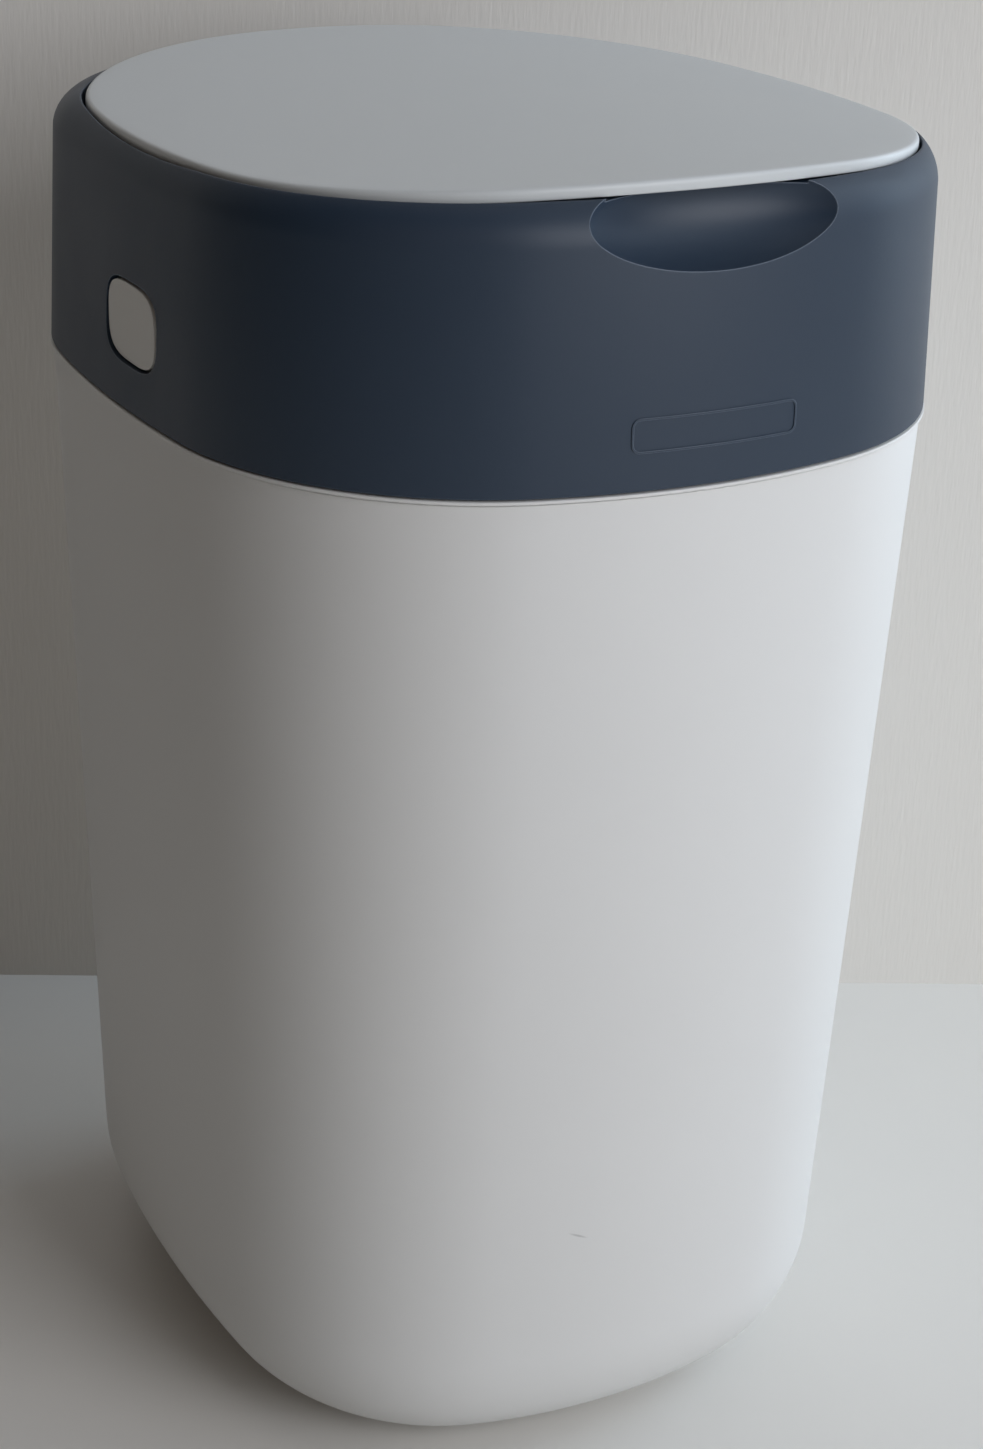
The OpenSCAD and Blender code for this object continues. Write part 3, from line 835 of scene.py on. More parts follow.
@dataclass
class Tub(Piece):
    """The tapered tub with its rounded foot and the neck that stands inside the collar.

    `groove` holds a depth and a height, `step_in` how far below and above the ledge the inside
    steps in, `latch_slot` how deep the slots cut, how far below the pivot they start and where they
    end, and `lug_span` the lugs' ends as seen from the pivot.
    """

    inset: float = 11.5
    setback: float = 0.75
    foot_radius: float = 48.0
    foot_steps: tuple[int, int] = (20, 16)
    foot_ring: float = 8.0
    ring_slope: float = 4.0
    ring_round: float = 0.8
    wall: float = 2.5
    base_rise: float = 3.0
    neck_inset: float = 2.9
    neck_height: float = 54.0
    hem_gap: float = 0.5
    step_in: tuple[float, float] = (5.0, 1.0)
    lip: float = 0.3
    lip_height: float = 0.95
    lip_round: float = 0.35
    groove: tuple[float, float] = (0.7, 0.5)
    groove_round: float = 0.15
    slot_half: float = 24.5
    slot_inset: float = 2.0
    latch_slot: tuple[float, float, float] = (6.0, 4.0, 400.0)
    lug: float = 5.0
    lug_half: float = 4.5
    lug_span: tuple[float, float] = (-3.0, 2.0)

    @property
    def slope(self) -> float:
        """Gives how far the face leans out for each millimetre of height."""
        return (self.inset + self.form.flare - self.setback) / self.form.split

    def edge(self, height: float) -> float:
        """Gives the offset of the tub's face at a height."""
        return self.slope * height - self.inset

    def foot_arc(self, radius: float, first: float, last: float, steps: int) -> list[Vector]:
        """Gives points round the foot.

        Args:
            radius: of the arc.
            first: the angle at which it starts, in degrees.
            last: the angle at which it ends.
            steps: how many straight pieces it has.

        Returns:
            Offsets and heights.
        """
        outer = self.foot_radius
        centre = Vector((self.edge(outer * (1 - self.slope)) - outer, outer))
        angles = [math.radians(first + (last - first) * i / steps) for i in range(steps + 1)]
        return [centre + Vector((math.cos(a), math.sin(a))) * radius for a in angles]

    def skin(self) -> list[Vector]:
        """Gives the profile from under the floor, round the outside and down the inside.

        Returns:
            Offsets and heights.
        """
        form, wall, edge = self.form, self.wall, self.edge
        lean = -math.degrees(math.asin(self.slope))
        outer = self.foot_arc(self.foot_radius, -90.0, lean, self.foot_steps[0])
        inner_radius = self.foot_radius - wall
        rise = math.acos((self.foot_radius - self.base_rise - wall) / inner_radius)
        inner = self.foot_arc(inner_radius, lean, math.degrees(rise) - 90.0, self.foot_steps[1])
        ledge, top = form.split - self.hem_gap, form.split + self.neck_height
        neck, neck_top = form.flare - self.neck_inset, form.flare_at(top) - self.neck_inset
        lip, step = form.flare + self.lip, ledge - self.lip_height
        depth, height = self.groove
        waist, under = edge(step) - depth, step - height
        low, high = ledge - self.step_in[0], ledge + self.step_in[1]
        up = soften([(*outer[-1], 0), (edge(under), under, self.groove_round), (waist, under, 0),
                     (waist, step, 0), (lip, step, self.groove_round), (lip, ledge, self.lip_round),
                     (neck, ledge, 0), (neck_top, top, 0), (neck_top - wall, top, 0),
                     (neck - wall, high, 0), (edge(low) - wall, low, 0)])
        ring = outer[0].x - self.foot_ring
        foot = soften([(ring - self.ring_slope, self.base_rise, 0), (ring, self.base_rise, 0),
                       (ring, 0, self.ring_round), (outer[0].x, 0, 0)])
        return foot + outer[1:] + up[1:] + inner

    def build(self, finish: bpy.types.Material) -> bpy.types.Object:
        """Lofts the tub, cuts its latch slots and adds the latch lugs.

        Args:
            finish: its material.

        Returns:
            The finished piece.
        """
        body = self.form.body
        loft = Loft(body.angles(self.form.coarse))
        under, inside = loft.run(ring_at(body, *point) for point in self.skin())
        loft.close(under, lambda _: self.base_rise)
        loft.close(inside, lambda _: self.base_rise + self.wall)
        piece = finish_mesh("tub_shell", loft.mesh)
        centre, (reach, height) = self.form.latch[0], self.form.pivot
        depth, drop, top = self.latch_slot
        for side in (-1, 1):
            middle = side * (body.half_width - self.slot_inset)
            combine(piece, box_shape((middle - depth, centre - self.slot_half, height - drop),
                                     (middle + depth, centre + self.slot_half, top)), Act.CUT)
            low, high = sorted(side * (reach + shift) for shift in self.lug_span)
            for end in (-1, 1):
                y = centre + end * (self.slot_half + self.lug / 2)
                lug = box_shape((low, y - self.lug / 2, height - self.lug_half),
                                (high, y + self.lug / 2, height + self.lug_half))
                combine(piece, lug, Act.JOIN)
        self.place(piece, finish, "tub")
        return piece


@dataclass
class Collar(Piece):
    """The deep collar with its shoulder, the finger scoop, the latch windows and the plaque.

    The rim dips by `rear_dip` between the two places along Y in `rear_from`. `laps` are how far
    the blocks behind the front wall run into one another. `plaque` holds a width, a height and a
    corner's radius, and `plaque_steps` the pieces of a corner and the cuts of a long edge.
    """

    wall: float = 2.5
    shoulder_steps: int = 12
    rim_round: float = 0.9
    rim_steps: int = 4
    rear_dip: float = 2.9
    rear_from: tuple[float, float] = (42.0, 76.0)
    hem_round: float = 0.6
    hem_run: float = 20.0
    scoop_centre: tuple[float, float, float] = (2.0, -142.5, 418.5)
    scoop_radii: tuple[float, float, float] = (44.0, 20.0, 16.2)
    scoop_facets: tuple[int, int] = (128, 64)
    block_half: float = 60.0
    block_depth: float = 24.0
    block_top: float = 413.5
    block_inset: float = 1.2
    laps: tuple[float, float] = (2.0, 1.0)
    crown_cuts: tuple[float, ...] = (-48.0, -24.0, 0.0, 24.0, 48.0)
    lid_rest: float = 1.0
    rest_inset: float = 6.4
    cup_half: float = 36.0
    cup_depth: float = 10.5
    cup_floor: float = 399.6
    window_cut: float = 8.0
    plaque: tuple[float, float, float] = (54.0, 10.0, 2.6)
    plaque_middle: tuple[float, float] = (2.4, 358.5)
    plaque_raise: float = 0.3
    plaque_sink: float = 0.5
    plaque_line: float = 0.6
    plaque_steps: tuple[int, int] = (4, 15)

    def profile(self, inset: float) -> list[Vector]:
        """Gives the collar's section where the mouth lies this far inside its outline.

        Args:
            inset: from the outline in to the mouth's wall, in millimetres.

        Returns:
            Offsets and heights, from the hem up the outside, over the rim and in at the deck.
        """
        form, radius, steps = self.form, self.form.shoulder_radius, self.shoulder_steps
        centre = Vector((-radius, form.shoulder))
        last = math.acos(max(-1.0, 1 - inset / radius))

        def on_arc(turn: float) -> Vector:
            """Gives the shoulder's point at a turn up from its foot."""
            return centre + Vector((math.cos(turn), math.sin(turn))) * radius

        rim = on_arc(last)
        across = rim.x + self.rim_round
        before = Vector((across, centre.y + math.sqrt(radius ** 2 - (across - centre.x) ** 2)))
        foot = Vector((-inset, form.deck_top))
        rounding = corner_round(before, rim, foot, self.rim_round, self.rim_steps)
        reach = last * (across / rim.x) ** 0.5
        shoulder = [on_arc(reach * i / steps) for i in range(1, steps)]
        hem_in = form.flare - self.wall
        hem = soften([(0.0, form.shoulder - self.hem_run, 0),
                      (form.flare, form.split, self.hem_round), (hem_in, form.split, 0)])
        inner_top = form.flare_at(form.deck_top) - self.wall
        return [Vector((hem_in, form.split)), *reversed(hem[1:-1]), Vector((0.0, form.shoulder)),
                *shoulder, *rounding, foot, Vector((inner_top, form.deck_top))]

    def build(self, finish: bpy.types.Material) -> bpy.types.Object:
        """Lofts the collar and works its openings.

        Args:
            finish: its material.

        Returns:
            The finished piece.
        """
        form = self.form
        loft = Loft(form.body.angles(form.fine))
        profiles = {angle: self.profile(form.body.inset_to(form.mouth, angle))
                    for angle in loft.angles}

        def station(index: int) -> Station:
            """Gives the ring through one point of every section."""
            return lambda angle: self.dipped(angle, *profiles[angle][index])

        ends = loft.run(station(index) for index in range(len(profiles[loft.angles[0]])))
        bmesh.ops.bridge_loops(loft.mesh, edges=ends[0] + ends[1])
        piece = finish_mesh("collar_shell", loft.mesh)
        block, cup = (self.block_half, self.block_depth), (self.cup_half, self.cup_depth)
        for half, depth, low, high, inset in (
                (*block, form.deck_top, self.block_top, self.block_inset),
                (*block, self.block_top - self.laps[0], form.lid_under, self.rest_inset),
                (*cup, self.cup_floor, form.deck_top + self.laps[1], self.block_inset)):
            combine(piece, self.front_block(half, depth, low, high, inset), Act.JOIN)
        combine(piece, self.scoop(), Act.CUT)
        for side in (-1, 1):
            middle = side * form.body.half_width
            combine(piece, form.window_bar(middle - self.window_cut, middle + self.window_cut),
                    Act.CUT)
        self.place(piece, finish, "collar")
        return piece

    def dipped(self, angle: float, offset: float, height: float) -> Vector:
        """Gives a point of the section at a normal, lowered where the rear rim dips.

        Args:
            angle: the direction of the normal, in degrees.
            offset: how far outside the outline the point lies.
            height: its height before it is lowered.

        Returns:
            The point.
        """
        flat = self.form.body.point(angle, offset)
        start, end = self.rear_from
        back = min(max((flat.y - start) / (end - start), 0.0), 1.0)
        rise = max(height - self.form.shoulder, 0.0) / self.form.shoulder_radius
        return Vector((flat.x, flat.y, height - self.rear_dip * back * rise))

    def front_block(self, half: float, depth: float, low: float, high: float,
                    inset: float) -> bmesh.types.BMesh:
        """Makes the solid behind the front wall that gives the scoop its body.

        Args:
            half: half its width.
            depth: how far it reaches back from the outline's front.
            low: height of its underside.
            high: height of its top, which follows the crown where that is lower.
            inset: how far its front lies inside the outline.

        Returns:
            A block whose front follows the outline.
        """
        form = self.form
        loft = Loft(form.body.angles(form.fine))
        back = form.body.front + depth
        drop = form.crown - form.lid_under + self.lid_rest
        ring = loft.start(ring_at(form.body, -inset, low))
        top = loft.grow(ring, ring_at(form.body, -inset, high))
        bmesh.ops.contextual_create(loft.mesh, geom=ring)
        bmesh.ops.contextual_create(loft.mesh, geom=top)
        facets = [((x, 0.0, form.crown_at(x, drop)), (x / form.crown_radius, 0.0, 1.0))
                  for x in self.crown_cuts]
        for point, normal in [((half, 0, 0), (1, 0, 0)), ((-half, 0, 0), (-1, 0, 0)),
                              ((0, back, 0), (0, 1, 0))] + facets:
            everything = loft.mesh.verts[:] + loft.mesh.edges[:] + loft.mesh.faces[:]
            cut = bmesh.ops.bisect_plane(loft.mesh, geom=everything, plane_co=Vector(point) * MM,
                                         plane_no=normal, clear_outer=True)["geom_cut"]
            edges = [g for g in cut if isinstance(g, bmesh.types.BMEdge)]
            if edges:
                bmesh.ops.contextual_create(loft.mesh, geom=edges)
        return loft.mesh

    def scoop(self) -> bmesh.types.BMesh:
        """Makes the egg shaped bowl of the finger scoop.

        Returns:
            The closed bowl, which is cut away.
        """
        mesh = bmesh.new()
        place = (Matrix.Translation(Vector(self.scoop_centre) * MM)
                 @ Matrix.Diagonal((*[r * MM for r in self.scoop_radii], 1.0)))
        around, up = self.scoop_facets
        bmesh.ops.create_uvsphere(mesh, u_segments=around, v_segments=up, radius=1.0, matrix=place)
        return mesh

    def raised_frame(self, finish: bpy.types.Material) -> bpy.types.Object:
        """Makes the bare raised outline low on the front.

        Args:
            finish: its material.

        Returns:
            The finished piece.
        """
        width, height, corner = self.plaque
        corner_steps, cuts = self.plaque_steps
        mesh = bmesh.new()
        flat = Matrix.Diagonal((width / 2, height / 2, 1.0, 1.0))
        bmesh.ops.create_grid(mesh, x_segments=1, y_segments=1, size=1.0, matrix=flat)
        bmesh.ops.bevel(mesh, geom=mesh.verts[:], offset=corner, offset_type="OFFSET",
                        segments=corner_steps, profile=0.5, affect="VERTICES", material=-1)
        long_edges = [e for e in mesh.edges if e.calc_length() > width / 2]
        bmesh.ops.subdivide_edges(mesh, edges=long_edges, cuts=cuts)
        middle = mesh.faces[:]
        bmesh.ops.inset_region(mesh, faces=middle, thickness=self.plaque_line,
                               use_boundary=True, use_even_offset=True)
        bmesh.ops.delete(mesh, geom=middle, context="FACES_ONLY")
        bmesh.ops.solidify(mesh, geom=mesh.faces[:], thickness=self.plaque_raise + self.plaque_sink)
        form, radius = self.form, self.form.body.end_radius
        low = min(v.co.z for v in mesh.verts)
        for vert in mesh.verts:
            x, z = self.plaque_middle[0] + vert.co.x, self.plaque_middle[1] + vert.co.y
            out = vert.co.z - low - self.plaque_sink + form.flare_at(z)
            y = form.body.front + radius - math.sqrt((radius + out) ** 2 - x * x)
            vert.co = Vector((x, y, z)) * MM
        piece = finish_mesh("collar_plaque", mesh)
        self.place(piece, finish)
        return piece


@dataclass
class Lid(Piece):
    """The crowned lid plate with its rounded edge, hinge knuckles and post pockets.

    `knuckle` holds a radius and the ends along X, `boss` a radius, a foot and a height, and
    `pocket` the height where the pockets start, how far back they run and the room above.
    """

    plate: float = 3.5
    top_round: float = 1.5
    top_steps: int = 5
    under_round: float = 0.5
    inward: float = 8.0
    rings: tuple[float, ...] = (4.0, 9.0, 18.0, 32.0, 48.0, 64.0)
    shrink: tuple[float, ...] = (0.8, 0.6, 0.4, 0.2)
    knuckle: tuple[float, float, float] = (1.8, 14.0, 30.0)
    bore: float = 0.85
    posts: tuple[float, ...] = (8.3, 30.7, -13.3, -35.7)
    post_width: float = 5.0
    pocket_gap: float = 0.4
    pocket: tuple[float, float, float] = (417.0, 140.0, 0.3)
    bosses: tuple[tuple[float, float], ...] = ((78.0, 60.0), (70.0, -80.0))
    boss: tuple[float, float, float] = (3.5, 416.51, 6.0)

    def build(self, finish: bpy.types.Material) -> bpy.types.Object:
        """Lofts the plate under its crown and works the hinge into it.

        Args:
            finish: its material.

        Returns:
            The finished piece.
        """
        form, plate = self.form, self.plate

        def station(offset: float, drop: float) -> Station:
            """Gives a ring that follows the crown at one depth below it.

            Args:
                offset: how far outside the lid's outline the ring lies.
                drop: how far below the crown.

            Returns:
                The ring's point for each normal.
            """
            def place(angle: float) -> Vector:
                """Gives the ring's point at a normal."""
                flat = form.lid.point(angle, offset)
                return Vector((flat.x, flat.y, form.crown_at(flat.x, drop)))
            return place

        under, side, top, over = (Vector(point) for point in (
            (-self.inward, -plate), (0.0, -plate), (0.0, 0.0), (-self.inward, 0.0)))
        edge = (corner_round(under, side, top, self.under_round)
                + corner_round(side, top, over, self.top_round, self.top_steps))
        loft = Loft(form.lid.angles(form.fine))
        inner, outer = loft.run([*(station(-offset, plate) for offset in reversed(self.rings)),
                                 *(station(point.x, -point.y) for point in edge),
                                 *(station(-offset, 0.0) for offset in self.rings)])
        loft.close(outer, lambda p: form.crown_at(p.x), self.shrink)
        loft.close(inner, lambda p: form.crown_at(p.x, plate), self.shrink)
        piece = finish_mesh("lid_shell", loft.mesh)
        self.work_hinge(piece)
        self.place(piece, finish, "lid_top")
        return piece

    def work_hinge(self, piece: bpy.types.Object) -> None:
        """Adds the knuckles and screw bosses, and cuts the bore and the post pockets.

        Args:
            piece: the lid's plate, which is changed.
        """
        y, z = self.form.hinge
        radius, start, end = self.knuckle
        for low in (start, -end):
            combine(piece, rod_shape(radius, (low, y, z), Along.X, end - start), Act.JOIN)
        thick, foot, height = self.boss
        for x, along in self.bosses:
            for side in (-1, 1):
                combine(piece, rod_shape(thick, (side * x, along, foot), Along.Z, height), Act.JOIN)
        gap, (floor, back, room) = self.pocket_gap, self.pocket
        for x in self.posts:
            combine(piece, box_shape((x - gap, y - radius - gap, floor),
                                     (x + self.post_width + gap, back, z + radius + room)),
                    Act.CUT)
        combine(piece, rod_shape(self.bore, (-end - OVERRUN, y, z), Along.X,
                                 2 * (end + OVERRUN)), Act.CUT)


@dataclass
class Latch(Piece):
    """A press pad with its flange, its pivot barrel and the notch for its spring.

    `flange` holds a thickness, half a width and the top's height, `notch` half of each size.
    """

    node: str = ""
    side: int = 1
    face: float = 122.8
    gap: float = 1.0
    flange: tuple[float, float, float] = (2.0, 22.5, 385.9)
    barrel: float = 2.6
    bore: float = 1.05
    notch: tuple[float, float, float] = (6.0, 5.0, 4.0)

    def build(self, finish: bpy.types.Material) -> bpy.types.Object:
        """Makes the pad and adds the flange, the barrel, the bore and the notch.

        Args:
            finish: its material.

        Returns:
            The finished piece.
        """
        form = self.form
        y = form.latch[0]
        x, z = self.side * form.pivot[0], form.pivot[1]
        plate, half, top = self.flange
        reach, width, height = self.notch
        low, high = sorted((x, self.side * self.face))
        piece = finish_mesh(self.node + "_shell", form.window_bar(low, high, self.gap))
        combine(piece, box_shape((x - plate / 2, y - half, z), (x + plate / 2, y + half, top)),
                Act.JOIN)
        combine(piece, rod_shape(self.barrel, (x, y - half, z), Along.Y, 2 * half), Act.JOIN)
        combine(piece, rod_shape(self.bore, (x, y - half - OVERRUN, z), Along.Y,
                                 2 * (half + OVERRUN)), Act.CUT)
        combine(piece, box_shape((x - reach, y - width, z - height),
                                 (x + reach, y + width, z + height)), Act.CUT)
        self.place(piece, finish, self.node)
        return piece


@dataclass
class Works(Piece):
    """Pieces of the frame whose shape is right, shaded smoothly and given their real finish."""

    nodes: tuple[str, ...] = ()

    def build(self, finish: bpy.types.Material) -> list[bpy.types.Object]:
        """Makes a smooth shaded copy of each node.

        Args:
            finish: their material.

        Returns:
            The copies.
        """
        pieces = []
        for node in self.nodes:
            mesh = bmesh.new()
            mesh.from_mesh(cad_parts[node].data)
            bmesh.ops.remove_doubles(mesh, verts=mesh.verts, dist=WELD)
            piece = mesh_object(node + "_dressed", mesh)
            stored = piece.data.attributes.get("custom_normal")
            if stored is not None:
                piece.data.attributes.remove(stored)
            self.place(piece, finish, node)
            pieces.append(piece)
        return pieces


# ---------------------------------------------------------------- studio and camera


def axes_at(place: Sequence[float], *axes: Vector) -> Matrix:
    """Gives the matrix with these three axes at a place in metres.

    Args:
        place: where the axes meet.
        axes: the directions of X, Y and Z.

    Returns:
        The matrix.
    """
    matrix = Matrix.Translation(place)
    for column, axis in enumerate(axes):
        matrix.col[column] = (*axis, 0.0)
    return matrix


@dataclass(frozen=True)
class Lamp:
    """One soft area lamp. Places and sizes are in metres."""

    name: str
    place: tuple[float, float, float]
    size: tuple[float, float]
    power: float
    colour: str
    aim: tuple[float, float, float] = (0.0, 0.0, 0.22)

    def build(self) -> bpy.types.Object:
        """Hangs the lamp and points it at its aim.

        Returns:
            The lamp.
        """
        light = bpy.data.lights.new(self.name, "AREA")
        light.shape = "RECTANGLE"
        light.size, light.size_y = self.size
        light.energy = self.power
        light.color = linear(self.colour)[:3]
        lamp = add_object(self.name, light)
        lamp.location = self.place
        sight = Vector(self.aim) - Vector(self.place)
        lamp.rotation_euler = sight.to_track_quat("-Z", "Y").to_euler()
        return lamp


@dataclass(frozen=True)
class Paint:
    """The paint of a floor or a wall. Sizes are in millimetres.

    `rolled` stretches the relief upwards, and a one-sided paint lets a camera behind it see through.
    """

    name: str
    colour: str
    roughness: float
    grain: float
    relief: float
    one_sided: bool = False
    rolled: tuple[float, float, float] = (1.0, 1.0, 0.12)
    layers: float = 3.0

    def make(self) -> bpy.types.Material:
        """Builds the material.

        Returns:
            A node material with one colour and a fine relief.
        """
        material = bpy.data.materials.new(self.name)
        material.use_nodes = True
        tree = material.node_tree
        tree.nodes.clear()
        place = add_node(tree, "ShaderNodeTexCoord").outputs["Object"]
        drawn = add_node(tree, "ShaderNodeMapping", {"Scale": self.rolled}, {"Vector": place})
        grain = add_node(tree, "ShaderNodeTexNoise",
                         {"Scale": 1 / (self.grain * MM), "Detail": self.layers},
                         {"Vector": drawn.outputs["Vector"]})
        relief = add_node(tree, "ShaderNodeBump", {"Strength": 1.0, "Distance": self.relief * MM},
                          {"Height": grain.outputs["Fac"]})
        front = add_node(tree, "ShaderNodeBsdfPrincipled",
                         {"Base Color": linear(self.colour), "Roughness": self.roughness},
                         {"Normal": relief.outputs["Normal"]}).outputs["BSDF"]
        if self.one_sided:
            clear = add_node(tree, "ShaderNodeBsdfTransparent").outputs["BSDF"]
            back = add_node(tree, "ShaderNodeNewGeometry").outputs["Backfacing"]
            front = add_node(tree, "ShaderNodeMixShader", None,
                             {0: back, 1: front, 2: clear}).outputs["Shader"]
        add_node(tree, "ShaderNodeOutputMaterial", None, {"Surface": front})
        return material


@dataclass
class Studio:
    """A pale floor, a plastered wall behind it and soft light from the right."""

    wall_foot: tuple[float, float] = (0.0887, 0.1914)
    wall_normal: tuple[float, float] = (-0.42, -0.907)
    wall_size: tuple[float, float] = (6.0, 2.6)
    floor_size: float = 6.0
    lamps: tuple[Lamp, ...] = (
        Lamp("window", (2.19, 0.19, 0.7), (1.0, 1.3), 19.5, "#cbe3f8"),
        Lamp("balcony_door", (0.76, -2.07, 1.05), (1.4, 1.5), 32.0, "#f7f9ff"),
        Lamp("skylight", (1.39, -0.98, 1.9), (1.2, 1.2), 8.0, "#e1efff"),
        Lamp("hall", (-1.5, -1.6, 1.2), (1.6, 1.6), 2.4, "#ffe6cf"),
        Lamp("ceiling", (0.2, -0.2, 2.4), (1.8, 1.8), 4.0, "#fffaf8"),
        Lamp("behind", (0.6, 2.4, 1.5), (1.4, 1.4), 2.0, "#f6f6ff", (0.0, 0.0, 0.2)),
    )
    sky: str = "#e9e4df"
    ambient: float = 0.003
    # matt floor paint: warm off-white, almost without relief
    floor_paint: Paint = Paint("painted_floor", "#e4e2dd", 0.5, 2.0, 0.01)
    # wall plaster: warm off-white with a fine upright weave
    wall_paint: Paint = Paint("plastered_wall", "#e4e1db", 0.85, 1.5, 0.16, True)

    def sheet(self, name: str, size: tuple[float, float], place: Matrix,
              paint: Paint) -> bpy.types.Object:
        """Lays a flat sheet with its paint.

        Args:
            name: the sheet's name.
            size: its two sides in metres.
            place: where it lies and how it is turned.
            paint: what it is painted with.

        Returns:
            The sheet.
        """
        mesh = bmesh.new()
        bmesh.ops.create_grid(mesh, x_segments=1, y_segments=1, size=0.5,
                              matrix=place @ Matrix.Diagonal((*size, 1.0, 1.0)))
        piece = mesh_object(name, mesh)
        piece.data.materials.append(paint.make())
        return piece

    def build(self) -> None:
        """Sets up the floor, the wall, the lamps and the room's own light."""
        self.sheet("floor", (self.floor_size, self.floor_size), Matrix.Identity(4),
                   self.floor_paint)
        normal = Vector((*self.wall_normal, 0.0)).normalized()
        upright = axes_at((*self.wall_foot, self.wall_size[1] / 2),
                          Vector((-normal.y, normal.x, 0.0)), Vector((0.0, 0.0, 1.0)), normal)
        wall = self.sheet("wall", self.wall_size, upright, self.wall_paint)
        wall.visible_shadow = False
        for lamp in self.lamps:
            lamp.build()
        world = bpy.data.worlds.new("room")
        world.use_nodes = True
        sky = world.node_tree.nodes["Background"]
        sky.inputs["Color"].default_value = linear(self.sky)
        sky.inputs["Strength"].default_value = self.ambient
        bpy.context.scene.world = world
        bpy.context.scene.view_settings.view_transform = "Standard"


@dataclass(frozen=True)
class Viewpoint:
    """Where the camera stands and how it looks: millimetres, radians and pixels."""

    place: tuple[float, float, float] = (-404.13, -756.71, 582.17)
    turn: float = -0.45287
    tilt: float = 0.40801
    roll: float = 0.01895
    focal: float = 2744.17
    centre: tuple[float, float] = (364.97, 727.23)
    image: tuple[int, int] = (983, 1449)
    sensor: float = 36.0
    far: float = 20.0

    def build(self) -> bpy.types.Object:
        """Creates the camera.

        Returns:
            The scene's camera.
        """
        sin_turn, cos_turn = math.sin(self.turn), math.cos(self.turn)
        sin_tilt, cos_tilt = math.sin(self.tilt), math.cos(self.tilt)
        back = Vector((sin_turn * cos_tilt, -cos_turn * cos_tilt, sin_tilt))
        right = Vector((cos_turn, sin_turn, 0.0))
        up = back.cross(right)
        sin_roll, cos_roll = math.sin(self.roll), math.cos(self.roll)
        across = right * cos_roll + up * sin_roll
        above = up * cos_roll - right * sin_roll
        data = bpy.data.cameras.new("viewpoint")
        width, height = self.image
        data.sensor_width = self.sensor
        data.lens = self.focal / height * data.sensor_width
        data.shift_x = (width / 2 - self.centre[0]) / height
        data.shift_y = (self.centre[1] - height / 2) / height
        data.clip_end = self.far
        camera = add_object("viewpoint", data)
        camera.matrix_world = axes_at(Vector(self.place) * MM, across, above, back)
        bpy.context.scene.camera = camera
        return camera


# ---------------------------------------------------------------- finishes

# polypropylene off a spark eroded tool: chalky white with a soft, broad sheen
TUB_WHITE = ScuffedFinish("moulded_polypropylene_white", Process.SPARK_GRAIN, "#dcdcda", 0.52, 1.1,
                          0.012, mottle=0.012, cloud=70.0, edge=0.5, mark=(-21.4, -133.0, 93.2))
# ABS with a fine leather-like grain: deep slate blue that greys where light grazes it, with a painted
# highlight paling its edges
COLLAR_NAVY = Finish("moulded_abs_slate", Process.SPARK_GRAIN, "#223244", 0.48, 0.9, 0.02,
                     mottle=0.03, cloud=50.0, edge=0.55, ior=1.5, edge_highlight=0.8)
# satin ABS: pale cool grey with a smooth sheen
LID_GREY = Finish("moulded_abs_pale_grey", Process.SATIN, "#c9cdce", 0.42, 1.4, 0.008,
                  mottle=0.012, cloud=60.0, edge=0.5, ior=1.53)
# press pads in the tub's white, a little smoother
PAD_WHITE = Finish("moulded_abs_white", Process.SPARK_GRAIN, "#d6d5d1", 0.48, 1.0, 0.012,
                   mottle=0.012, cloud=30.0, edge=0.6, ior=1.53)
# glass filled polypropylene: mid grey, slightly cloudy
INNER_GREY = Finish("moulded_polypropylene_grey", Process.SPARK_GRAIN, "#a9afb4", 0.5, 1.0, 0.02,
                    mottle=0.03, cloud=35.0, edge=0.4)
# acetal: waxy clean white
DIAL_WHITE = Finish("moulded_acetal_white", Process.SATIN, "#ebeae6", 0.33, 1.2, 0.006,
                    mottle=0.01, cloud=40.0, edge=0.5, ior=1.48)
# zinc plated steel: bright, with drawn lines along the wire
ZINC = Finish("zinc_plated_steel", Process.PLATED, "#c4c7c9", 0.3, 0.5, 0.01, mottle=0.05,
              cloud=8.0, edge=0.15, metallic=1.0)
# polyethylene film folded into pleats: pale blue, glossy, creased
FILM_BLUE = Finish("folded_polyethylene_film", Process.PLEATED_FILM, "#a9c3d8", 0.28, 2.5, 0.12,
                   mottle=0.06, cloud=12.0, edge=0.2, ior=1.51)
# polyurethane foam: charcoal, matt, with open pores
FOAM = Finish("open_cell_foam", Process.FOAMED, "#4f5358", 0.9, 0.8, 0.25, mottle=0.08, cloud=10.0,
              edge=0.6, ior=1.45)
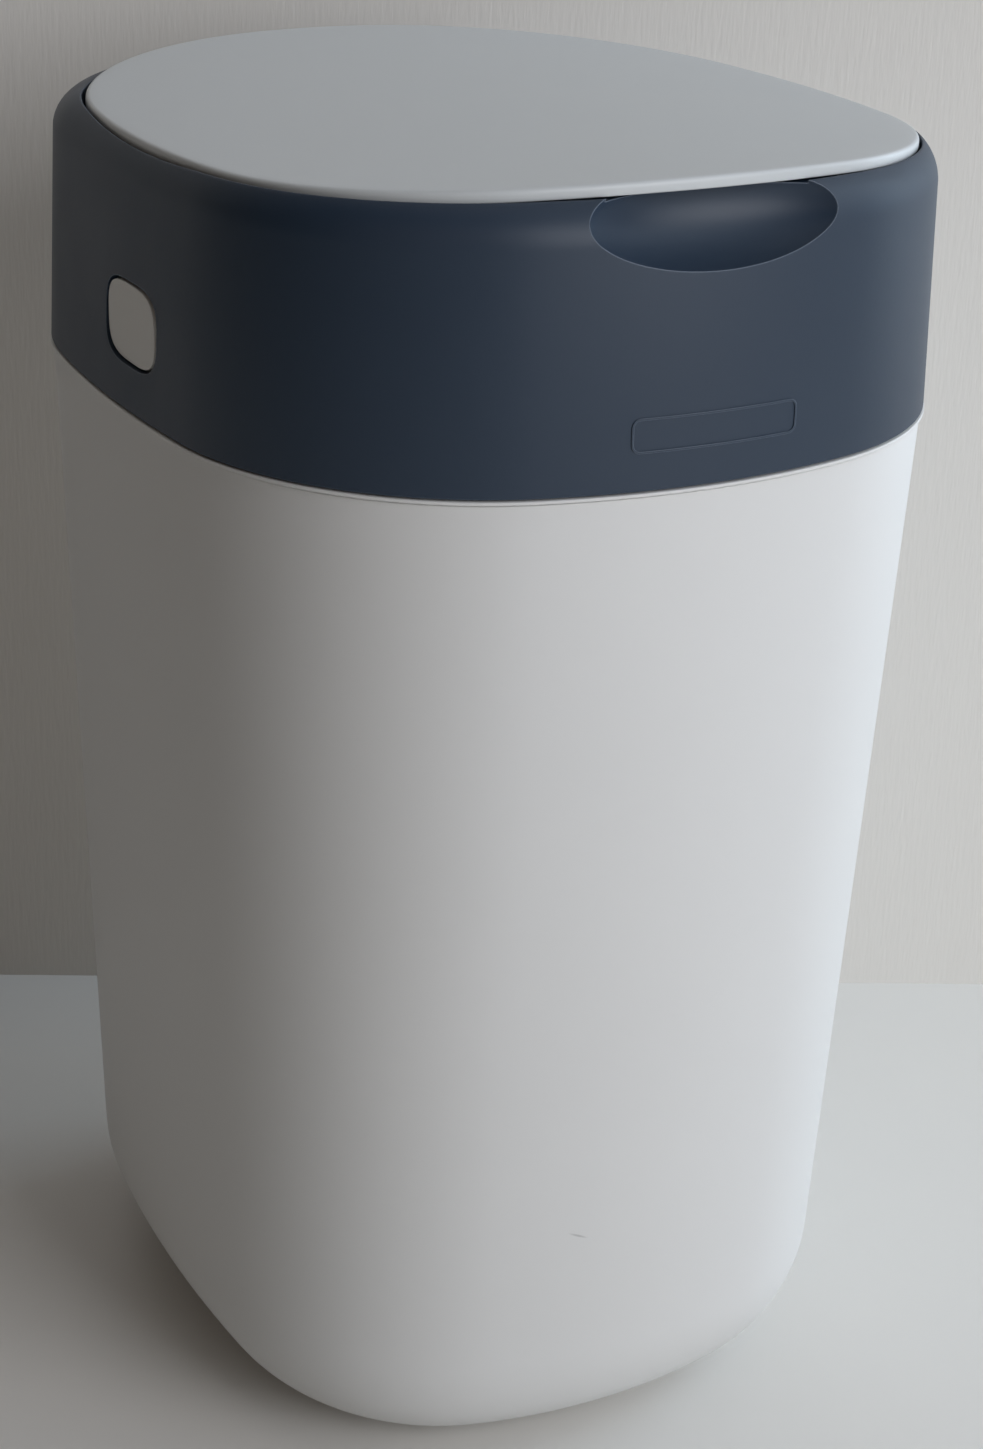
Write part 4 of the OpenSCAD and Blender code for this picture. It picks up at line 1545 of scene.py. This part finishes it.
# the same slate and painted edge highlight, drawn with crisper edges for the fine outline of the
# plaque
PLAQUE_NAVY = replace(COLLAR_NAVY, name="moulded_abs_slate_crisp", edge=0.25)

# the frame's nodes whose shape stays: body, slot, finish and nodes
WORKS: tuple[tuple[str, str, Finish, tuple[str, ...]], ...] = (
    ("base", "inner_grey", INNER_GREY, ("deck", "clamp_drum")),
    ("base", "steel", ZINC, ("deck_screws", "drum_screws", "petal_pins", "petal_springs",
                             "pawl_pin", "pawl_spring", "latch_pins", "latch_springs",
                             "hinge_pins")),
    ("ring", "dial_white", DIAL_WHITE, ("twist_ring", "cassette_body")),
    ("ring", "inner_grey", INNER_GREY, ("cassette_tray", "cassette_cap")),
    ("ring", "steel", ZINC, ("tray_screws",)),
    ("ring", "film", FILM_BLUE, ("film_pack",)),
    ("petal_r", "dial_white", DIAL_WHITE, ("petal_right",)),
    ("petal_b", "dial_white", DIAL_WHITE, ("petal_back",)),
    ("petal_l", "dial_white", DIAL_WHITE, ("petal_left",)),
    ("petal_f", "dial_white", DIAL_WHITE, ("petal_front",)),
    ("click_pawl", "dial_white", DIAL_WHITE, ("pawl",)),
    ("lid", "inner_grey", INNER_GREY, ("lid_inner",)),
    ("lid", "steel", ZINC, ("lid_screws",)),
    ("lid", "seal", FOAM, ("lid_seal",)),
)


def main() -> None:
    """Builds the bin's pieces in order, then the studio and the camera."""
    logging.basicConfig(level=logging.INFO, format="%(name)s: %(message)s")
    form = Form()
    Tub(form, "base", "white_shell").build(TUB_WHITE.make())
    collar = Collar(form, "base", "navy_shell")
    collar.build(COLLAR_NAVY.make())
    collar.raised_frame(PLAQUE_NAVY.make())
    Lid(form, "lid", "lid_grey").build(LID_GREY.make())
    Latch(form, "press_left", "white_shell", "latch_left", -1).build(PAD_WHITE.make())
    Latch(form, "press_right", "white_shell", "latch_right", 1).build(PAD_WHITE.make())
    for body, slot, finish, nodes in WORKS:
        Works(form, body, slot, nodes).build(finish.make())
    Studio().build()
    Viewpoint().build()


if __name__ == "__main__":
    main()
